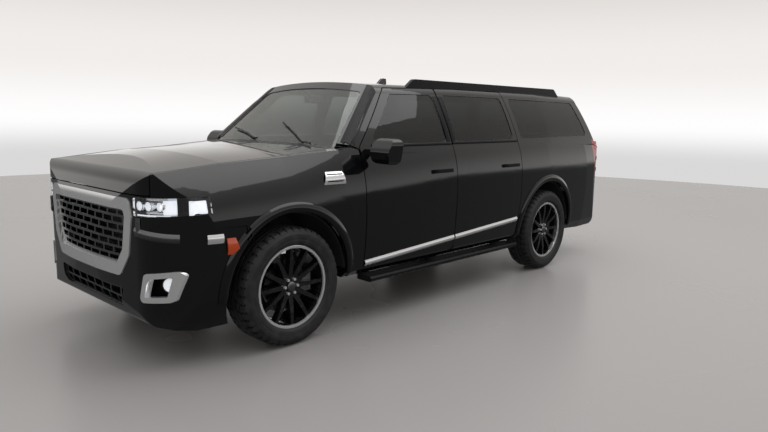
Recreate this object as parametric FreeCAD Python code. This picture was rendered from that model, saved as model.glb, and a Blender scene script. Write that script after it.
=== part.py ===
"""A long-wheelbase sport utility vehicle with four side doors, a rear hatch and a bonnet.

The front faces -Y, the vehicle's left is +X and up is +Z. The origin lies on the ground, under the
middle of the vehicle. Lengths are millimetres.
"""
import FreeCAD
import Part
import functools
import math
import os

V = FreeCAD.Vector

# Overall sizes
length = 5720.0
wheelbase = 3406.0
front_overhang = 1006.0
track = 1740.0

# Wheels
tyre_radius = 417.0
tyre_width = 275.0
rim_radius = 292.0
barrel_radius = 262.0
disc_radius = 178.0
spoke_count = 12
arch_radius = 498.0
arch_lift = 18.0

# Wall thicknesses and gaps
skin = 16.0
door_depth = 85.0
pillar_depth = 46.0
fender_depth = 22.0
glass_inset = 5.0
glass_thickness = 6.0
window_corner = 45.0
panel_gap = 8.0
door_step = 34.0
seat_gap = 0.3

# Heights
sill_bottom = 385.0
door_bottom = 440.0
floor_z = 520.0
floor_thickness = 40.0
belt_z = 1345.0
window_base_z = 1382.0
window_top_z = 1782.0
frame_top_z = 1838.0
fascia_top_z = 1100.0
bumper_top_z = 895.0
sill_edge_z = 430.0
handle_z = 1128.0

# Places along the vehicle, all from the axles or the ends
nose_y = -length / 2
tail_y = length / 2
front_axle_y = nose_y + front_overhang
rear_axle_y = front_axle_y + wheelbase
door_front_y = front_axle_y + 690.0
door_split_y = door_front_y + 1110.0
door_rear_y = door_split_y + 1055.0
cowl_y = front_axle_y + 480.0
hood_half_width = 812.0
pillar_foot_y = door_front_y - 130.0
pillar_foot_z = (1351.0, 1391.0)
hood_hinge_y = cowl_y - 20.0
hood_hinge_z = 1349.0
hood_bow = 230.0
bonnet_hinge_x = 785.0
door_hinge_x = 1004.0
door_hinge_heights = (740.0, 980.0)
hinge_radius = 3.4
hinge_length = 26.0
sill_inner_x = 800.0
board_inner_x = 860.0
board_z = 346.0
rail_x = 420.0
rail_width = 90.0
inner_wing_x = 500.0
liner_wall = 10.0
knuckle_height = 176.0
rail_bottom = 340.0
rail_top = 500.0
rear_member_z = 478.0
tail_member_z = 390.0
hitch_z = 290.0
hitch_outer = 64.0
hitch_inner = 51.5
hitch_pin_radius = 8.3
antenna_y = cowl_y + 1290.0
grille_proud = 8.0
grille_frame = 74.0
hatch_top_y = tail_y - 330.0
hatch_hinge_z = 1880.0
roof_half_width = 632.0
mirror_setback = 72.0
mirror_inner_x = 1036.0
mirror_outer_x = 1232.0
wheel_x = track / 2
kingpin_x = wheel_x - 60.0

# Lower body, one row a station: y, bottom half width, bottom z, sill half width, flank half width,
# flank z, crease half width, crease z, top half width, top z, crown z
body_stations = [
    (nose_y - 60, 850, 236, 925, 950, 640, 945, 925, 800, 1222, 1258),
    (nose_y + 560, 890, 240, 958, 985, 680, 982, 945, 832, 1282, 1330),
    (front_axle_y, 905, 290, 965, 998, 700, 994, 952, 852, 1308, 1352),
    (cowl_y, 912, sill_bottom, 968, 1001, 720, 1002, 966, 905, 1345, 1385),
    (door_split_y, 915, sill_bottom, 968, 1001, 730, 1005, 1052, 940, 1345, 1367),
    (rear_axle_y, 912, sill_bottom, 966, 1000, 730, 1004, 1046, 940, 1342, 1360),
    (tail_y - 450, 900, 340, 952, 986, 735, 990, 1044, 918, 1338, 1354),
    (tail_y + 60, 872, 340, 918, 947, 735, 951, 1044, 880, 1332, 1346),
]

# Cabin above the belt, one row a station: y, belt half width, roof edge half width and z,
# roof panel half width and z, crown z
belt_base_z = 1190.0
belt_base_step = 100.0
cabin_stations = [
    (cowl_y - 260, 934, 700, 1752, 610, 1822, 1852),
    (front_axle_y + 1250, 946, 728, 1778, 634, 1852, 1884),
    (door_split_y + 500, 952, 744, 1792, 650, 1868, 1902),
    (rear_axle_y + 100, 950, 742, 1790, 648, 1866, 1900),
    (tail_y + 40, 925, 706, 1762, 612, 1838, 1866),
]

# Radius of the middle of each bumper, seen from above
nose_plan_radius = 4000.0
tail_plan_radius = 6000.0

# Screens: place and height of the foot, slope from level, plan radius
windscreen = dict(y=cowl_y - 193, z=1238.0, slope=41.0, radius=4200.0, facing=-1)
back_screen = dict(y=tail_y - 62, z=1262.0, slope=70.5, radius=5200.0, facing=1)


def rounded(points, radii):
    """Closed wire through flat 3-D points, each corner rounded to its radius."""
    count = len(points)
    if not isinstance(radii, (list, tuple)):
        radii = [radii] * count
    edges = []
    starts = []
    ends = []
    mids = []
    for i, corner in enumerate(points):
        before = (points[i - 1] - corner)
        after = (points[(i + 1) % count] - corner)
        a = V(before).normalize()
        b = V(after).normalize()
        turn = math.pi - a.getAngle(b)
        if radii[i] <= 0 or turn < 1e-4:
            starts.append(corner)
            ends.append(corner)
            mids.append(None)
            continue
        run = radii[i] * math.tan(turn / 2)
        run = min(run, before.Length * 0.49, after.Length * 0.49)
        radius = run / math.tan(turn / 2)
        start = corner + a * run
        end = corner + b * run
        bisector = (a + b).normalize()
        centre = corner + bisector * math.hypot(radius, run)
        starts.append(start)
        ends.append(end)
        mids.append(centre - bisector * radius)
    for i in range(count):
        if mids[i] is not None:
            edges.append(Part.Arc(starts[i], mids[i], ends[i]).toShape())
        nxt = starts[(i + 1) % count]
        if (nxt - ends[i]).Length > 1e-6:
            edges.append(Part.LineSegment(ends[i], nxt).toShape())
    return Part.Wire(edges)


def prism_x(points, radii, low, high):
    """Outline of (y, z) points drawn out along X from low to high."""
    wire = rounded([V(low, y, z) for y, z in points], radii)
    return Part.Face(wire).extrude(V(high - low, 0, 0))


def prism_y(points, radii, low, high):
    """Outline of (x, z) points drawn out along Y from low to high."""
    wire = rounded([V(x, low, z) for x, z in points], radii)
    return Part.Face(wire).extrude(V(0, high - low, 0))


def prism_z(points, radii, low, high):
    """Outline of (x, y) points drawn out along Z from low to high."""
    wire = rounded([V(x, y, low) for x, y in points], radii)
    return Part.Face(wire).extrude(V(0, 0, high - low))


def block(x0, x1, y0, y1, z0, z1):
    return Part.makeBox(x1 - x0, y1 - y0, z1 - z0, V(x0, y0, z0))


def rod_x(radius, x0, x1, y, z):
    return Part.makeCylinder(radius, x1 - x0, V(x0, y, z), V(1, 0, 0))


def mirrored(shape):
    return shape.mirror(V(0, 0, 0), V(1, 0, 0))


def both_sides(shape):
    return Part.makeCompound([shape, mirrored(shape)])


def joined(shapes):
    result = shapes[0].fuse(shapes[1:]) if len(shapes) > 1 else shapes[0]
    return result.removeSplitter()


def grown(points, step):
    """The (a, b) outline moved outwards by step on every side."""
    area = sum(points[i - 1][0] * p[1] - p[0] * points[i - 1][1] for i, p in enumerate(points))
    side = 1 if area > 0 else -1
    moved = []
    count = len(points)
    for i, (a, b) in enumerate(points):
        pa, pb = points[i - 1]
        na, nb = points[(i + 1) % count]
        d1 = math.hypot(a - pa, b - pb)
        d2 = math.hypot(na - a, nb - b)
        n1 = ((b - pb) / d1 * side, -(a - pa) / d1 * side)
        n2 = ((nb - b) / d2 * side, -(na - a) / d2 * side)
        scale = step / (1 + n1[0] * n2[0] + n1[1] * n2[1])
        moved.append((a + (n1[0] + n2[0]) * scale, b + (n1[1] + n2[1]) * scale))
    return moved


def side_profile(inset):
    """Lower body seen from the side, with the rounded nose and the upright tail."""
    k = inset
    points = [
        (nose_y + 330 + k, 236 + k), (nose_y + 70 + k, 300 + k), (nose_y + 6 + k, 470),
        (nose_y + k, 720), (nose_y + 20 + k, 1040), (nose_y + 56 + k, 1226 - k),
        (nose_y + 330, 1306 - k), (front_axle_y, 1420 - k), (cowl_y, 1450 - k),
        (tail_y - 60, 1450 - k), (tail_y - 32 - k, 1200), (tail_y - k, 800),
        (tail_y - k, 470), (tail_y - 90 - k, 330 + k), (tail_y - 500, 300 + k),
    ]
    radii = [60, 60, 300, 900, 600, 110, 900, 1500, 60, 60, 1500, 300, 120, 120, 60]
    return prism_x(points, radii, -1200, 1200)


def apex_lift(radius, run, drop):
    """How far the corner of two sloping lines stands out from the arc that rounds it off."""
    lift = 0.0
    for _ in range(30):
        lift = radius * (1 / math.cos(math.atan((drop + lift) / run)) - 1)
    return lift


def plan_profile(inset):
    """Lower body seen from above, with its rounded front and rear corners."""
    k = inset
    front = apex_lift(nose_plan_radius, 838, 62)
    rear = apex_lift(tail_plan_radius, 905, 34)
    right = [
        (0, nose_y - front + k), (838 - k, nose_y + 62 + k), (982 - k, nose_y + 400),
        (1080 - k, nose_y + 900), (1080 - k, tail_y - 700), (975 - k, tail_y - 230),
        (905 - k, tail_y - 34 - k), (0, tail_y + rear - k),
    ]
    points = right + [(-x, y) for x, y in reversed(right[1:-1])]
    radii_right = [nose_plan_radius, 300, 1500, 0, 0, 900, 190, tail_plan_radius]
    radii = radii_right + list(reversed(radii_right[1:-1]))
    return prism_z(points, radii, 0, 1600)


def closed_section(half):
    """Closed wire from the left half of a section, foot to crown, with an arc through every other point."""
    def flip(p):
        return V(-p.x, p.y, p.z)
    run = half + [flip(p) for p in reversed(half[:-1])]
    edges = [Part.LineSegment(run[-1], run[0]).toShape(), Part.LineSegment(run[0], run[1]).toShape()]
    middle = run[1:-1]
    for i in range(0, len(middle) - 1, 2):
        edges.append(Part.Arc(*middle[i:i + 3]).toShape())
    edges.append(Part.LineSegment(run[-2], run[-1]).toShape())
    return Part.Wire(edges)


def body_section(row, k):
    y, x0, z0, x1, x2, z2, x3, z3, x4, z4, zc = row
    bottom = V(x0 - k, y, z0 + k)
    sill = V(x1 - k, y, sill_edge_z)
    flank = V(x2 - k, y, z2)
    crease = V(x3 - k, y, z3)
    roll = V(x3 - k - (x3 - x4) * 0.31, y, z3 - k * 0.5 + (z4 - z3) * 0.53)
    top = V(x4 - k * 0.7, y, z4 - k)
    crown = V(0, y, zc - k)
    return closed_section([bottom, sill, flank, crease, roll, top, crown])


def cabin_section(row, k):
    y, x0, x1, z1, x2, z2, zc = row
    foot = V(x0 - k - belt_base_step, y, belt_base_z)
    belt = V(x0 - k, y, belt_z - 40)
    middle = V((x0 + x1) / 2 + 16 - k, y, (belt_z - 40 + z1) / 2)
    edge = V(x1 - k, y, z1)
    roll = V((x1 + x2) / 2 + 12 - k * 0.8, y, (z1 + z2) / 2 + 11 - k * 0.6)
    roof = V(x2 - k * 0.3, y, z2 - k)
    crown = V(0, y, zc - k)
    return closed_section([foot, belt, middle, edge, roll, roof, crown])


def screen_cylinder(spec, inset):
    """Large tilted cylinder whose skin is the curved screen."""
    slope = math.radians(spec["slope"])
    along = V(0, -spec["facing"] * math.cos(slope), math.sin(slope))
    outward = V(0, spec["facing"] * math.sin(slope), math.cos(slope))
    radius = spec["radius"] - inset
    foot = V(0, spec["y"], spec["z"])
    start = foot - outward * spec["radius"] - along * length / 2
    return Part.makeCylinder(radius, length * 1.5, start, along)


@functools.lru_cache(maxsize=None)
def lower_form(inset):
    loft = Part.makeLoft([body_section(row, inset) for row in body_stations], True, True)
    return loft.common(side_profile(inset)).common(plan_profile(inset))


@functools.lru_cache(maxsize=None)
def cabin_form(inset):
    loft = Part.makeLoft([cabin_section(row, inset) for row in cabin_stations], True, True)
    front = loft.common(screen_cylinder(windscreen, inset))
    return front.common(screen_cylinder(back_screen, inset))


def body_form(inset, cabin_inset):
    return lower_form(inset).fuse(cabin_form(cabin_inset))


# Outlines of the side openings, as (y, z) points
def front_door_outline():
    y0, y1 = door_front_y, door_split_y
    return [
        (y0, door_bottom), (y1, door_bottom), (y1, belt_z + 10), (y1 - 14, frame_top_z),
        (y0 + 462, frame_top_z - 20), (y0, belt_z + 18),
    ]


def rear_door_outline():
    y0, y1 = door_split_y + panel_gap, door_rear_y
    return [
        (y0, door_bottom), (y1 - 40, door_bottom), (y1 - 6, 800), (y1 + 2, belt_z + 30),
        (y1 - 30, frame_top_z + 2), (y0 - 6, frame_top_z + 2), (y0, belt_z + 10),
    ]


def front_window_outline():
    y0, y1 = door_front_y, door_split_y
    return [
        (y0 + 105, window_base_z - 4), (y1 - 62, window_base_z), (y1 - 74, window_top_z),
        (y0 + 515, window_top_z - 6),
    ]


def rear_window_outline():
    y0, y1 = door_split_y, door_rear_y
    return [
        (y0 + 62, window_base_z), (y1 - 62, window_base_z + 8), (y1 - 84, window_top_z + 2),
        (y0 + 62, window_top_z + 2),
    ]


def quarter_window_outline():
    y0 = door_rear_y
    return [
        (y0 + 78, window_base_z + 10), (tail_y - 330, window_base_z + 20), (tail_y - 430, window_top_z - 12),
        (y0 + 56, window_top_z),
    ]


def hatch_outline(step):
    """The hatch seen from behind, as (x, z) points, moved out by step."""
    points = [
        (808, 650), (812, 1220), (790, 1390), (664, 1830), (590, 1960),
        (-590, 1960), (-664, 1830), (-790, 1390), (-812, 1220), (-808, 650),
    ]
    return grown(points, step)


def back_window_outline():
    return [(738, 1395), (640, 1790), (-640, 1790), (-738, 1395)]


# Shared solids
outer = body_form(0, 0)
under_skin = body_form(skin, skin)
flange_form = body_form(fender_depth, fender_depth)
cavity = body_form(door_depth, pillar_depth)
shell = outer.cut(cavity)
glass_layer = cabin_form(glass_inset).cut(cabin_form(glass_inset + glass_thickness))
front_layer = lower_form(0).cut(lower_form(fender_depth))
proud_layer = lower_form(-grille_proud).cut(lower_form(fender_depth))
mesh_layer = lower_form(skin).cut(lower_form(fender_depth))


def arch_tool(y, radius, x0=560.0):
    return rod_x(radius, x0, 1200, y, tyre_radius + arch_lift)


def side_door(outline, window):
    """Left door: full skin, a deeper inner box stepped in all round, and its window cut."""
    rebate = prism_x(grown(outline, panel_gap), 0, 300, 1200).cut(prism_x(grown(outline, -door_step), 50, 300, 1200))
    door = shell.common(prism_x(outline, 24, 300, 1200))
    return largest(door.cut([rebate.common(under_skin), prism_x(window, window_corner, 300, 1200)]))


def window_glass(window):
    return glass_layer.common(prism_x(grown(window, -seat_gap), window_corner, 300, 1200))


def door_holes(outline):
    """What the left body side leaves open for a door: a wide rebate and the doorway inside it."""
    rebate = prism_x(grown(outline, panel_gap), 28, 300, 1200).cut(flange_form)
    doorway = prism_x(grown(outline, panel_gap + 4 - door_step), 54, 300, 1200)
    return [rebate, doorway]


def hatch_region(step):
    region = prism_y(hatch_outline(step), 60, hatch_top_y - step, tail_y + 200)
    return region


def hinge_barrel(centre, direction, low, high):
    """Stretch of a hinge barrel between two distances along its axis."""
    return Part.makeCylinder(hinge_radius, high - low, centre + direction * low, direction)


def door_hinge(edge_y, z, side):
    """Left lift-off hinge in the gap ahead of a door: a leaf on the door or the tab under it on the pillar."""
    centre = V(door_hinge_x, edge_y - panel_gap / 2, z)
    half = hinge_length / 2
    if side == "leaf":
        web = block(door_hinge_x - 3, door_hinge_x, centre.y, edge_y + 2, z - half + seat_gap, z + half - seat_gap)
        barrel = hinge_barrel(centre, V(0, 0, 1), -half + seat_gap, half - seat_gap)
        return barrel.fuse(web.common(outer))
    web = block(door_hinge_x - 34, door_hinge_x, centre.y - 3, centre.y + 1, z - half - 20, z - half)
    return hinge_barrel(centre, V(0, 0, 1), -half - 20, -half).fuse(web)


def hood_hinge(side):
    """Left bonnet hinge at its rear corner."""
    x, z = bonnet_hinge_x, hood_hinge_z
    centre = V(x, hood_hinge_y + panel_gap / 2, z)
    if side == "leaf":
        web = block(x - 12, x + 12, hood_hinge_y - 24, centre.y, z - 8, z)
        return hinge_barrel(centre, V(1, 0, 0), -12, 12).fuse(web)
    pieces = []
    for low, high in ((-32, -12 - seat_gap), (12 + seat_gap, 32)):
        web = block(x + low, x + high, centre.y - 1, hood_hinge_y + 24, z - 14, z - 1)
        pieces.append(hinge_barrel(centre, V(1, 0, 0), low, high).fuse(web))
    return pieces[0].fuse(pieces[1])


def hatch_hinges(side):
    """Both hatch hinges in the gap behind the roof."""
    y = hatch_top_y - panel_gap / 2
    pieces = []
    for x in (-160, 160):
        centre = V(x, y, hatch_hinge_z)
        if side == "leaf":
            web = block(x - 15, x + 15, y, hatch_top_y + 6, hatch_hinge_z - 16, hatch_hinge_z - 2)
            pieces.append(hinge_barrel(centre, V(1, 0, 0), -15, 15).fuse(web))
            continue
        for low, high in ((-35, -15 - seat_gap), (15 + seat_gap, 35)):
            web = block(x + low, x + high, y - panel_gap, y + 1, hatch_hinge_z - 16, hatch_hinge_z - 2)
            pieces.append(hinge_barrel(centre, V(1, 0, 0), low, high).fuse(web))
    return pieces


def body_side():
    """Left body side: pillars, sill, quarter panel and wheel arch, open at doors and windows."""
    front = door_front_y - panel_gap + seat_gap
    keep = [
        (pillar_foot_y, pillar_foot_z[1]), (front, pillar_foot_z[0]), (front, 270),
        (tail_y + 100, 270), (tail_y + 100, 2100), (pillar_foot_y, 2100),
    ]
    side = shell.common(prism_x(keep, 0, 300, 1300))
    side = side.cut(block(0, roof_half_width + seat_gap, nose_y, tail_y + 200, 1700, 2100))
    side = side.cut(block(0, sill_inner_x + seat_gap, nose_y, tail_y + 200, 100, 800))
    side = side.cut(door_holes(front_door_outline()) + door_holes(rear_door_outline()))
    side = side.cut([
        prism_x(quarter_window_outline(), window_corner, 300, 1200), windscreen_region(0), hatch_region(panel_gap),
        rear_bumper_region(seat_gap), tail_lamp_region(seat_gap)])
    sill_end = rear_axle_y - arch_radius - 40
    sill = block(sill_inner_x + seat_gap, 868, front, sill_end, sill_bottom + 30, floor_z + floor_thickness)
    side = side.fuse(sill)
    side = side.cut(arch_tool(rear_axle_y, arch_radius + liner_wall + seat_gap))
    tabs = [door_hinge(y, z, "tab") for y in (door_front_y, door_split_y + panel_gap) for z in door_hinge_heights]
    return joined([tidy(side)] + tabs)


def windscreen_region(step):
    """What the windscreen fills, drawn square to the glass."""
    points = grown([(826, 120), (622, 868), (-622, 868), (-826, 120)], -step)
    wire = rounded([V(x, z, 0) for x, z in points], 60)
    solid = Part.Face(wire).extrude(V(0, 0, 700))
    solid.translate(V(0, 0, -460))
    solid.rotate(V(0, 0, 0), V(1, 0, 0), windscreen["slope"])
    solid.translate(V(0, windscreen["y"] + 30, windscreen["z"]))
    return solid


def rear_bumper_region(step):
    points = [
        (tail_y - 760, 100), (tail_y - 690, 560), (tail_y - 560, 690), (tail_y + 200, 690), (tail_y + 200, 100),
    ]
    return prism_x(grown(points, step), 20, -1300, 1300)


def tail_lamp_region(step):
    points = [(700, 970), (1100, 950), (1100, 1352), (700, 1362)]
    lamp = prism_y(grown(points, step), 20, tail_y - 230 - step, tail_y + 200)
    return lamp.cut(prism_y(grown(hatch_outline(panel_gap), -step), 60, tail_y - 500, tail_y + 300))


def bumper_outline():
    """Front bumper and fascia seen from the side."""
    return [
        (nose_y - 100, 200), (front_axle_y - 300, 200), (front_axle_y - 380, bumper_top_z - 5),
        (nose_y + 350, bumper_top_z), (nose_y + 300, fascia_top_z), (nose_y - 100, fascia_top_z),
    ]


def headlamp_outline():
    return [(652, 972), (1100, 992), (1100, 1094), (652, 1090)]


def headlamp_region(step):
    return prism_y(grown(headlamp_outline(), step), 16, nose_y - 100, nose_y + 400 + step)


def grille_outline():
    right = [(480, 576), (590, 720), (634, 960), (606, 1078)]
    return right + [(-x, z) for x, z in reversed(right)]


def lower_grille_outline():
    return [(450, 365), (500, 500), (-500, 500), (-450, 365)]


def lamp_surround_outline():
    return [(690, 440), (890, 455), (925, 650), (735, 625)]


def hood_region(step):
    half = hood_half_width + step
    points = [
        (half - 40, nose_y - 20), (half - 10, nose_y + 300), (half, nose_y + 600), (half, hood_hinge_y + step),
        (0, hood_hinge_y - hood_bow + step), (-half, hood_hinge_y + step), (-half, nose_y + 600),
        (-half + 10, nose_y + 300), (-half + 40, nose_y - 20),
    ]
    radii = [0, 0, 0, 0, 2400, 0, 0, 0, 0]
    return prism_z(points, radii, fascia_top_z + panel_gap - step, 1600)


def cowl_region(step):
    """Scuttle between the bonnet and the windscreen, seen from above."""
    half = hood_half_width + 20 + step
    front = hood_hinge_y + panel_gap
    points = [
        (half, front), (0, front - hood_bow), (-half, front),
        (-half, front + 190), (0, front + 190 - hood_bow), (half, front + 190),
    ]
    return prism_z(points, [0, 2400, 0, 0, 2400, 0], 1220, 1600)


def front_fender():
    """Left front wing with its arch, from the lamp back to the door."""
    rear = door_front_y - panel_gap
    keep = [
        (nose_y - 50, bumper_top_z + 3), (front_axle_y - 374, bumper_top_z - 2), (front_axle_y - 290, 270),
        (rear, 270), (rear, pillar_foot_z[0] - seat_gap), (pillar_foot_y - seat_gap, pillar_foot_z[1] - seat_gap),
        (pillar_foot_y - seat_gap, 1500), (nose_y - 50, 1500),
    ]
    wing = front_layer.common(prism_x(keep, 0, 700, 1300))
    return largest(wing.cut([
        hood_region(panel_gap), cowl_region(seat_gap), headlamp_region(seat_gap),
        prism_x(grown(bumper_outline(), seat_gap), 0, 300, 1300),
        arch_tool(front_axle_y, arch_radius + liner_wall + seat_gap)]))


def solids_of(shape):
    return [s for s in shape.Solids if s.Volume > 2000]


def largest(shape):
    return max(shape.Solids, key=lambda solid: solid.Volume)


def tidy(shape):
    solids = solids_of(shape)
    return solids[0] if len(solids) == 1 else Part.makeCompound(solids)


def make_wheel():
    """Alloy wheel with hub and brake disc, about the origin, outer side towards +X."""
    half = tyre_width / 2 - 20
    rim_profile = [
        (-half, rim_radius), (-half, barrel_radius), (half - 44, barrel_radius), (half - 8, rim_radius - 16),
        (half - 8, rim_radius), (half - 22, rim_radius), (half - 30, rim_radius - 14),
        (-half + 24, rim_radius - 14), (-half + 12, rim_radius),
    ]
    wire = Part.makePolygon([V(x, 0, r) for x, r in rim_profile + rim_profile[:1]])
    rim = Part.Face(wire).revolve(V(0, 0, 0), V(1, 0, 0), 360)
    hub = rod_x(82, half - 80, half - 34, 0, 0)
    cap = rod_x(36, half - 40, half - 26, 0, 0)
    spoke_profile = [(60, -19), (barrel_radius + 8, -11), (barrel_radius + 8, 11), (60, 19)]
    face = Part.Face(Part.makePolygon([V(half - 74, y, z) for z, y in spoke_profile + spoke_profile[:1]]))
    spoke = face.extrude(V(52, 0, 0))
    spokes = []
    for i in range(spoke_count):
        arm = spoke.copy()
        arm.rotate(V(0, 0, 0), V(1, 0, 0), i * 360.0 / spoke_count)
        spokes.append(arm)
    dish_profile = [(half - 38, 0), (half - 38, 70), (half - 12, barrel_radius), (half + 60, barrel_radius), (half + 60, 0)]
    dish = Part.Face(Part.makePolygon([V(x, 0, r) for x, r in dish_profile + dish_profile[:1]]))
    dish = dish.revolve(V(0, 0, 0), V(1, 0, 0), 360)
    star = hub.fuse(spokes).cut(dish)
    carrier = rod_x(62, -24, half - 70, 0, 0).fuse(rod_x(disc_radius, -14, 14, 0, 0))
    bore = rod_x(30.3, -60, half - 76, 0, 0)
    return joined([rim, star, cap, carrier]).cut(bore)


def make_tyre():
    """Tyre about the origin: bead, bulging side walls and a flat tread between chamfered shoulders."""
    half = tyre_width / 2
    seat = rim_radius + seat_gap
    right = [(half - 22, seat), (half, (seat + tyre_radius) / 2), (half - 14, tyre_radius - 24), (half - 46, tyre_radius)]
    profile = right + [(-x, r) for x, r in reversed(right)]
    wire = Part.makePolygon([V(x, 0, r) for x, r in profile + profile[:1]])
    return Part.Face(wire).revolve(V(0, 0, 0), V(1, 0, 0), 360)


def placed(shape, x, y, z):
    moved = shape.copy()
    moved.translate(V(x, y, z))
    return moved


def caliper():
    """Brake caliper astride the disc, with the bracket that carries it."""
    body = block(-46, 38, 120, 212, -70, 70).cut(rod_x(disc_radius + 6, -22, 22, 0, 0))
    return body.fuse(block(-100, -40, 40, 150, -40, 40))


def make_knuckle():
    """Left front upright with spindle, steering arm and caliper, about the wheel centre."""
    spindle = rod_x(30, -150, 40, 0, 0)
    upright = block(-110, -60, -45, 45, -150, 150)
    kingpin = kingpin_x - wheel_x
    top = Part.makeCylinder(26, knuckle_height - 100, V(kingpin, 0, 100))
    foot = Part.makeCylinder(26, knuckle_height - 100, V(kingpin, 0, -knuckle_height))
    arm = block(-110, -80, -170, -30, -60, -30)
    return joined([spindle, upright, top, foot, arm, caliper()])


def outline_y(points, radii, low=None, high=None):
    """Prism along Y that passes through the whole nose."""
    return prism_y(points, radii, nose_y - 200 if low is None else low, nose_y + 600 if high is None else high)


def front_bumper():
    fascia = front_layer.common(prism_x(bumper_outline(), 0, -1300, 1300))
    tools = [hood_region(panel_gap), outline_y(grown(grille_outline(), seat_gap), 60),
             outline_y(lower_grille_outline(), 20)]
    for tool in (headlamp_region(seat_gap), outline_y(grown(lamp_surround_outline(), seat_gap), 30),
                 arch_tool(front_axle_y, arch_radius + liner_wall + seat_gap)):
        tools += [tool, mirrored(tool)]
    return fascia.cut(tools)


def grille_surround():
    ring = outline_y(grille_outline(), 60).cut(outline_y(grown(grille_outline(), -grille_frame), 40))
    return proud_layer.common(ring)


def lattice(outline, radii, columns, rows, bar):
    """Grille insert: a plate that follows the nose, pierced by rows of slots set like brickwork."""
    plate = mesh_layer.common(outline_y(outline, radii))
    xs = [p[0] for p in outline]
    zs = [p[1] for p in outline]
    pitch_x = (max(xs) - min(xs)) / columns
    pitch_z = (max(zs) - min(zs)) / rows
    slots = []
    for row in range(rows):
        shift = pitch_x / 2 if row % 2 else 0
        for column in range(-1, columns + 1):
            x0 = min(xs) + shift + column * pitch_x + bar / 2
            z0 = min(zs) + row * pitch_z + bar / 2
            slots.append(block(x0, x0 + pitch_x - bar, nose_y - 200, nose_y + 600, z0, z0 + pitch_z - bar))
    inside = outline_y(grown(outline, -bar), radii)
    return plate.cut(Part.makeCompound(slots).common(inside))


def lamp_surround():
    ring = outline_y(lamp_surround_outline(), 30).cut(outline_y(grown(lamp_surround_outline(), -34), 0))
    return proud_layer.common(ring)


def headlamp():
    return front_layer.common(headlamp_region(0))


def hood():
    panel = tidy(front_layer.common(hood_region(0)))
    knuckle = hood_hinge("leaf")
    return joined([panel, knuckle, mirrored(knuckle)])


def cowl():
    panel = front_layer.common(cowl_region(0)).cut(cabin_form(0))
    notch = block(
        bonnet_hinge_x - 19, bonnet_hinge_x + 19, hood_hinge_y - 60, hood_hinge_y + panel_gap / 2 + 6, 1250, 1430)
    tab = hood_hinge("tab")
    return joined([tidy(panel.cut([notch, mirrored(notch)])), tab, mirrored(tab)])


def roof():
    end = hatch_top_y - panel_gap
    panel = shell.common(block(-roof_half_width, roof_half_width, cowl_y - 300, end, 1700, 2100))
    fin = prism_x(
        [(antenna_y, 1870), (antenna_y + 150, 1870), (antenna_y + 142, 1950), (antenna_y + 96, 1952)],
        [0, 0, 8, 20], -16, 16)
    panel = tidy(panel.cut(windscreen_region(0)))
    return joined([panel, fin] + hatch_hinges("tab"))


def hatch():
    panel = shell.common(hatch_region(0))
    panel = tidy(panel.cut(prism_y(back_window_outline(), 70, tail_y - 600, tail_y + 200)))
    return joined([panel] + hatch_hinges("leaf"))


def rear_bumper():
    panel = shell.common(rear_bumper_region(0))
    arch = arch_tool(rear_axle_y, arch_radius + liner_wall + seat_gap)
    return panel.cut([
        hatch_region(panel_gap), arch, mirrored(arch),
        block(-sill_inner_x, sill_inner_x, tail_y - 800, tail_y - door_depth, 200, 600),
        block(-70, 70, tail_y - 200, tail_y + 100, 200, 400)])


def floor_pan():
    front = cowl_y + 130
    floor = block(-sill_inner_x, sill_inner_x, front, tail_y - 130, floor_z, floor_z + floor_thickness)
    tunnel = block(-150, 150, front, rear_axle_y - 400, floor_z + floor_thickness, floor_z + 150)
    board = block(-sill_inner_x, sill_inner_x, front - 30, front, floor_z, 1190)
    tool = rod_x(arch_radius + liner_wall + seat_gap, 640 - seat_gap, 1200, rear_axle_y, tyre_radius + arch_lift)
    return joined([floor, tunnel, board]).cut([tool, mirrored(tool)])


def wheel_liner(y, inner_x, wall_z):
    """Left wheel housing: a barrel vault over the tyre, closed on its inner side above wall_z."""
    z = tyre_radius + arch_lift
    vault = rod_x(arch_radius + liner_wall, inner_x, 955, y, z)
    hollow = rod_x(arch_radius, inner_x + liner_wall, 1200, y, z)
    window = block(inner_x - 10, inner_x + liner_wall + 10, y - 700, y + 700, -200, wall_z)
    return vault.cut([hollow, window, block(0, 1300, y - 700, y + 700, -200, 470)])


def front_structure():
    """Inner wings and radiator panel, one welded frame round the engine bay."""
    end = cowl_y + 100 - seat_gap
    inner = block(inner_wing_x - 24, inner_wing_x - seat_gap, nose_y + 330, end, 640, 1150)
    foot = rail_top + seat_gap
    panel = block(-inner_wing_x + 24, inner_wing_x - 24, nose_y + 330, nose_y + 380, foot, 1130)
    return joined([inner, mirrored(inner), panel])


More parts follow.
